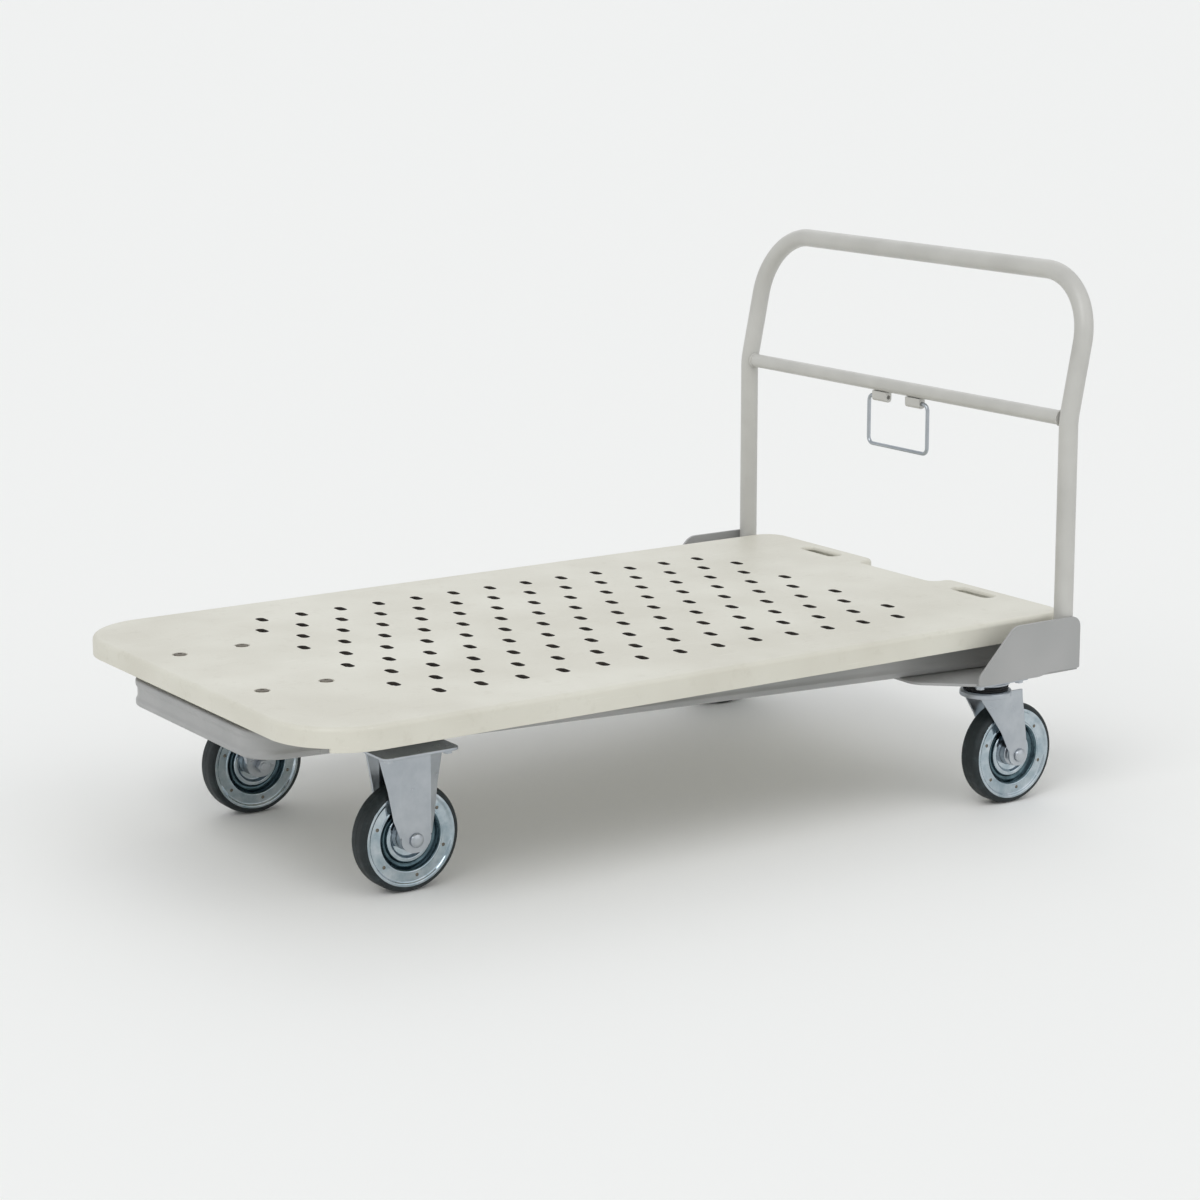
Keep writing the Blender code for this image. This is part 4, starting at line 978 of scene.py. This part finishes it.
def makeWheel(label, side, carrier):
    spun = "wheel_" + label
    low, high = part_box("tyre_" + label)
    centre = (low + high) / 2
    half, radius = (high.x - low.x) / 2, (high.z - low.z) / 2
    seat, disc, gap = half - wheel["bowlDepth"] - wheel["sheet"], wheel["discRadius"], wheel["gap"]
    shoulder = wheel["shoulder"]
    # solid tread, flat across with rounded shoulders and a shallow groove down each side
    section = [
        (-seat, wheel["tyreBore"], 0), (-seat, disc + gap, 0), (-half, disc + gap, 0.0006),
        (-half, radius - shoulder - 0.0012, 0.0008), (-half + 0.0007, radius - shoulder - 0.0004, 0.0004),
        (-half + 0.0005, radius - shoulder + 0.0010, 0.001), (-half + shoulder, radius, 0.0035),
        (-0.0006, radius, 0), (-0.0003, radius - 0.0003, 0),
        (0.0003, radius - 0.0003, 0), (0.0006, radius, 0),
        (half - shoulder, radius, 0.0035), (half - 0.0005, radius - shoulder + 0.0010, 0.001),
        (half - 0.0007, radius - shoulder - 0.0004, 0.0004), (half, radius - shoulder - 0.0012, 0.0008),
        (half, disc + gap, 0.0006), (seat, disc + gap, 0), (seat, wheel["tyreBore"], 0),
    ]
    bm = turnedShape(section, centre, 112)
    name = titleOf(label)
    finishPiece("tyre" + name, bm, tyreFinish, spun, "tyre_rubber", "tyre_" + label)
    for place, face in (("outer", side), ("inner", -side)):
        bm = turnedShape(discSection(half, face), centre, 112)
        # faces down in the bowl, between these radii, take the plating darkened as painted shade
        for part in bm.faces:
            spot = part.calc_center_median() - centre
            if wheel["bowlShadeFrom"] < math.hypot(spot.y, spot.z) < wheel["bowlShadeTo"]:
                part.material_index = 2
        for step in range(wheel["rivets"]):
            turn = math.tau * step / wheel["rivets"] + wheel["rivetTurn"]
            section = [
                (0, 0, 0), (0, 0.0026, 0), (0.0005, 0.0026, 0.0003), (0.0013, 0.0014, 0.0008), (0.0014, 0, 0),
            ]
            if face < 0:
                section = [(-along, across, soft) for along, across, soft in section]
            out = face * (half - 0.0027)
            spot = Vector((out, wheel["rivetCircle"] * math.cos(turn), wheel["rivetCircle"] * math.sin(turn)))
            rivet = turnedShape(section, centre + spot, 16)
            # rivet heads take the second finish, zinc darkened as painted shade
            for part in rivet.faces:
                part.material_index = 1
            putInto(bm, rivet)
        node = f"disc_{place}_{label}"
        finish = (chromeFinish, dullShadeFinish, bowlShadeFinish)
        finishPiece(f"disc{place.title()}{name}", bm, finish, spun, "chromed_disc", node)
    low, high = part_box("hub_" + label)
    reach = (high.x - low.x) / 2
    section = [
        (-reach, wheel["axle"] + 0.0004, 0.0004), (-reach, wheel["hubRadius"] - 0.005, 0.001),
        (-reach + 0.006, wheel["hubRadius"] - 0.005, 0.001), (-reach + 0.008, wheel["hubRadius"], 0.001),
        (reach - 0.008, wheel["hubRadius"], 0.001), (reach - 0.006, wheel["hubRadius"] - 0.005, 0.001),
        (reach, wheel["hubRadius"] - 0.005, 0.001), (reach, wheel["axle"] + 0.0004, 0.0004),
    ]
    bm = turnedShape(section, centre, 48)
    finishPiece("hub" + name, bm, zincFinish, spun, "zinc_plate", "hub_" + label)
    # axle bolt with a domed head on the outside, and a nut inside
    low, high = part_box("axle_bolt_" + label)
    far = abs(high.x - centre.x) if side > 0 else abs(low.x - centre.x)
    near = abs(low.x - centre.x) if side > 0 else abs(high.x - centre.x)
    seat = far - 0.0057
    section = [
        (-near, 0, 0), (-near, wheel["axle"], 0.001), (seat, wheel["axle"], 0),
        (seat, wheel["headRadius"], 0.0004),
        (seat + 0.0030, wheel["headRadius"], 0.0018), (far - 0.0002, 0.0050, 0.0016), (far, 0, 0),
    ]
    if side < 0:
        section = [(-along, across, soft) for along, across, soft in section]
    bm = turnedShape(section, centre, 40)
    finishPiece("axleBolt" + name, bm, zincFinish, carrier, "zinc_plate", "axle_bolt_" + label)
    low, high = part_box("axle_nut_" + label)
    bm = hexNut((low.x, centre.y, centre.z), high.x - low.x, wheel["nutRadius"], "X")
    finishPiece("axleNut" + name, bm, zincFinish, carrier, "zinc_plate", "axle_nut_" + label)


# a hexagon with softened corners
def hexNut(place, height, radius, axis):
    bm = bmesh.new()
    bmesh.ops.create_circle(bm, cap_ends=True, segments=6, radius=radius)
    pushFace(bm, bm.faces[:], (0, 0, height))
    bmesh.ops.recalc_face_normals(bm, faces=bm.faces)
    roundEdges(bm, sharpEdges(bm), 0.0006, 2)
    if axis == "X":
        bmesh.ops.rotate(bm, verts=bm.verts, cent=(0, 0, 0), matrix=Matrix.Rotation(math.pi / 2, 3, "Y"))
    bmesh.ops.translate(bm, verts=bm.verts, vec=place)
    return bm


for label, side in sides:
    makeWheel("front_" + label, side, "frame")
    makeWheel("rear_" + label, side, "swivel_" + label)
print("wheels made")


caster = {
    "inside": 0.054, "sheet": 0.003, "plate": 0.004, "plateCorner": 0.010,
    "frontTop": 0.050, "frontToe": 0.023, "wingBack": 0.013, "fold": 0.003,
    "boltInset": 0.013, "boltRadius": 0.0066, "boltHeight": 0.0055,
    "crown": 0.038, "upperRace": 0.036, "lowerRace": 0.033,
}


# a pressed leg: a flat panel with wings that fold back from its side edges. Each wing is the run of panel
# corners that it starts from and the (y, z, how far back) place that each of them reaches
def legShape(panel, wings, x, side, steps=6):
    bm = bmesh.new()
    verts = [bm.verts.new((x, y, z)) for y, z, reach in panel]
    bm.faces.new(verts)
    for run, places in wings:
        outer = [bm.verts.new((x - side * back, y, z)) for y, z, back in places]
        for step in range(len(run) - 1):
            bm.faces.new((verts[run[step]], verts[run[step + 1]], outer[step + 1], outer[step]))
    for vert, (y, z, reach) in zip(verts, panel):
        if reach:
            bmesh.ops.bevel(
                bm, geom=[vert], offset=reach, offset_type="OFFSET", affect="VERTICES",
                segments=steps, profile=0.5, material=-1,
            )
    bmesh.ops.recalc_face_normals(bm, faces=bm.faces)
    if sum(face.normal.x * face.calc_area() for face in bm.faces) * side < 0:
        bmesh.ops.reverse_faces(bm, faces=bm.faces)
    folds = [edge for edge in bm.edges if len(edge.link_faces) == 2 and edge.calc_face_angle(0) > 0.1]
    roundEdges(bm, folds, caster["fold"], 5)
    bmesh.ops.solidify(bm, geom=bm.faces[:], thickness=caster["sheet"] * 0.85)
    return bm


def plateBolts(bm, low, high, under):
    inset = caster["boltInset"]
    for x in (low.x + inset, high.x - inset):
        for y in (low.y + inset, high.y - inset):
            place, height = (x, y, under - caster["boltHeight"]), caster["boltHeight"] + 0.0004
            putInto(bm, hexNut(place, height, caster["boltRadius"], "Z"))


def topPlate(low, high, thickness):
    corner = caster["plateCorner"]
    corners = [
        (low.x, low.y, corner), (high.x, low.y, corner), (high.x, high.y, corner), (low.x, high.y, corner),
    ]
    return plateShape(corners, lambda a, b: (a, b, high.z - thickness), (0, 0, thickness), 0.0008)


def makeRigidFork(label, side):
    low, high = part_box("rigid_fork_" + label)
    centre = middleOf("tyre_front_" + label)
    under = high.z - caster["plate"]
    bm = topPlate(Vector((low.x, low.y, 0)), Vector((high.x, high.y, high.z)), caster["plate"])
    toe, top = caster["frontToe"], caster["frontTop"]
    for way in (-1, 1):
        x = centre.x + way * (caster["inside"] / 2 + caster["sheet"])
        back = caster["wingBack"]
        panel = [
            (centre.y - toe, under + 0.001, 0), (centre.y - toe, centre.z + 0.070, 0),
            (centre.y - toe, centre.z + 0.030, 0), (centre.y - toe, centre.z + 0.006, 0),
            (centre.y - toe, centre.z - toe * 0.75, toe * 0.9),
            (centre.y + toe, centre.z - toe * 0.75, toe * 0.9),
            (centre.y + toe, centre.z + 0.006, 0), (centre.y + toe, centre.z + 0.030, 0),
            (centre.y + toe, centre.z + 0.070, 0), (centre.y + toe, under + 0.001, 0),
        ]
        spread = [(top, under + 0.001, back), (0.038, centre.z + 0.070, back * 0.62),
                  (toe + 0.0085, centre.z + 0.030, back * 0.42), (toe + 0.0015, centre.z + 0.006, 0.0006)]
        wings = [
            ((0, 1, 2, 3), [(centre.y - out, z, deep) for out, z, deep in spread]),
            ((9, 8, 7, 6), [(centre.y + out, z, deep) for out, z, deep in spread]),
        ]
        putInto(bm, legShape(panel, wings, x, way))
    # the web across the top of the pressing
    web = topPlate(
        Vector((centre.x - caster["inside"] / 2 - 0.002, centre.y - top + 0.004, 0)),
        Vector((centre.x + caster["inside"] / 2 + 0.002, centre.y + top - 0.004, under + 0.0002)), 0.0025,
    )
    putInto(bm, web)
    plateBolts(bm, low, high, under)
    finishPiece("rigidFork" + label.title(), bm, zincFinish, "frame", "zinc_plate", "rigid_fork_" + label)


def makeSwivelCaster(label, side):
    low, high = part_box("swivel_top_" + label)
    middle = (low + high) / 2
    under = high.z - caster["plate"]
    bm = topPlate(Vector((low.x, low.y, 0)), high, caster["plate"])
    radius = caster["upperRace"]
    section = [
        (low.z, 0.0065, 0), (low.z, radius - 0.004, 0.001), (low.z + 0.003, radius, 0.0015),
        (under - 0.003, radius, 0.002), (under + 0.0004, radius - 0.003, 0), (under + 0.0004, 0.0065, 0),
    ]
    putInto(bm, turnedShape(section, (middle.x, middle.y, 0), 64, "Z"))
    plateBolts(bm, low, high, under)
    finishPiece("swivelPlate" + label.title(), bm, zincFinish, "frame", "zinc_plate", "swivel_top_" + label)

    # dust ring between the two raceways
    low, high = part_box("lower_race_" + label)
    radius = caster["lowerRace"]
    section = [
        (low.z, 0.0065, 0), (low.z, radius, 0.0008), (low.z + 0.002, radius, 0.0006),
        (low.z + 0.003, radius - 0.0015, 0.0005), (low.z + 0.004, radius, 0.0006),
        (high.z, radius, 0.0008), (high.z, 0.0065, 0),
    ]
    bm = turnedShape(section, (middle.x, middle.y, 0), 64, "Z")
    name, node = "dustRing" + label.title(), "lower_race_" + label
    finishPiece(name, bm, bufferFinish, "swivel_" + label, "zinc_plate", node)

    low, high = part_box("kingpin_" + label)
    section = [
        (low.z, 0, 0), (low.z, 0.009, 0.0012), (low.z + 0.006, 0.010, 0.0008), (low.z + 0.006, 0.006, 0),
        (high.z, 0.006, 0.0006), (high.z, 0, 0),
    ]
    bm = turnedShape(section, (middle.x, middle.y, 0), 32, "Z")
    finishPiece("kingpin" + label.title(), bm, zincFinish, "frame", "zinc_plate", "kingpin_" + label)

    # raked fork: round crown and two folded legs
    low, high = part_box("swivel_fork_" + label)
    wheelMiddle = middleOf("tyre_rear_" + label)
    top, sheet, crown = high.z, caster["sheet"], caster["crown"]
    section = [
        (top - sheet, 0.0064, 0), (top - sheet - 0.006, crown - 0.003, 0.001),
        (top - sheet - 0.006, crown, 0.0008),
        (top - 0.001, crown, 0.003), (top, crown - 0.005, 0.002), (top, 0.0064, 0),
    ]
    bm = turnedShape(section, (middle.x, middle.y, 0), 64, "Z")
    y, z, axle = middle.y, wheelMiddle.z, wheelMiddle.y
    for way in (-1, 1):
        x = middle.x + way * (caster["inside"] / 2 + sheet)
        panel = [
            (y + 0.022, top - 0.0015, 0), (y + 0.022, z + 0.060, 0), (y + 0.022, z + 0.036, 0),
            (y + 0.022, z + 0.010, 0), (axle - 0.019, z - 0.014, 0.014),
            (axle + 0.015, z - 0.016, 0.015), (axle + 0.013, z + 0.018, 0), (y + 0.045, top - 0.010, 0.004),
            (y + 0.0445, top - 0.0015, 0),
        ]
        wings = [((0, 1, 2, 3), [
            (y - 0.031, top - 0.0015, 0.012), (y - 0.004, z + 0.060, 0.008), (y + 0.0105, z + 0.036, 0.0045),
            (y + 0.0205, z + 0.010, 0.0006),
        ])]
        putInto(bm, legShape(panel, wings, x, way))
    name, node = "swivelFork" + label.title(), "swivel_fork_" + label
    finishPiece(name, bm, zincFinish, "swivel_" + label, "zinc_plate", node)


for label, side in sides:
    makeRigidFork(label, side)
    makeSwivelCaster(label, side)
print("casters made")


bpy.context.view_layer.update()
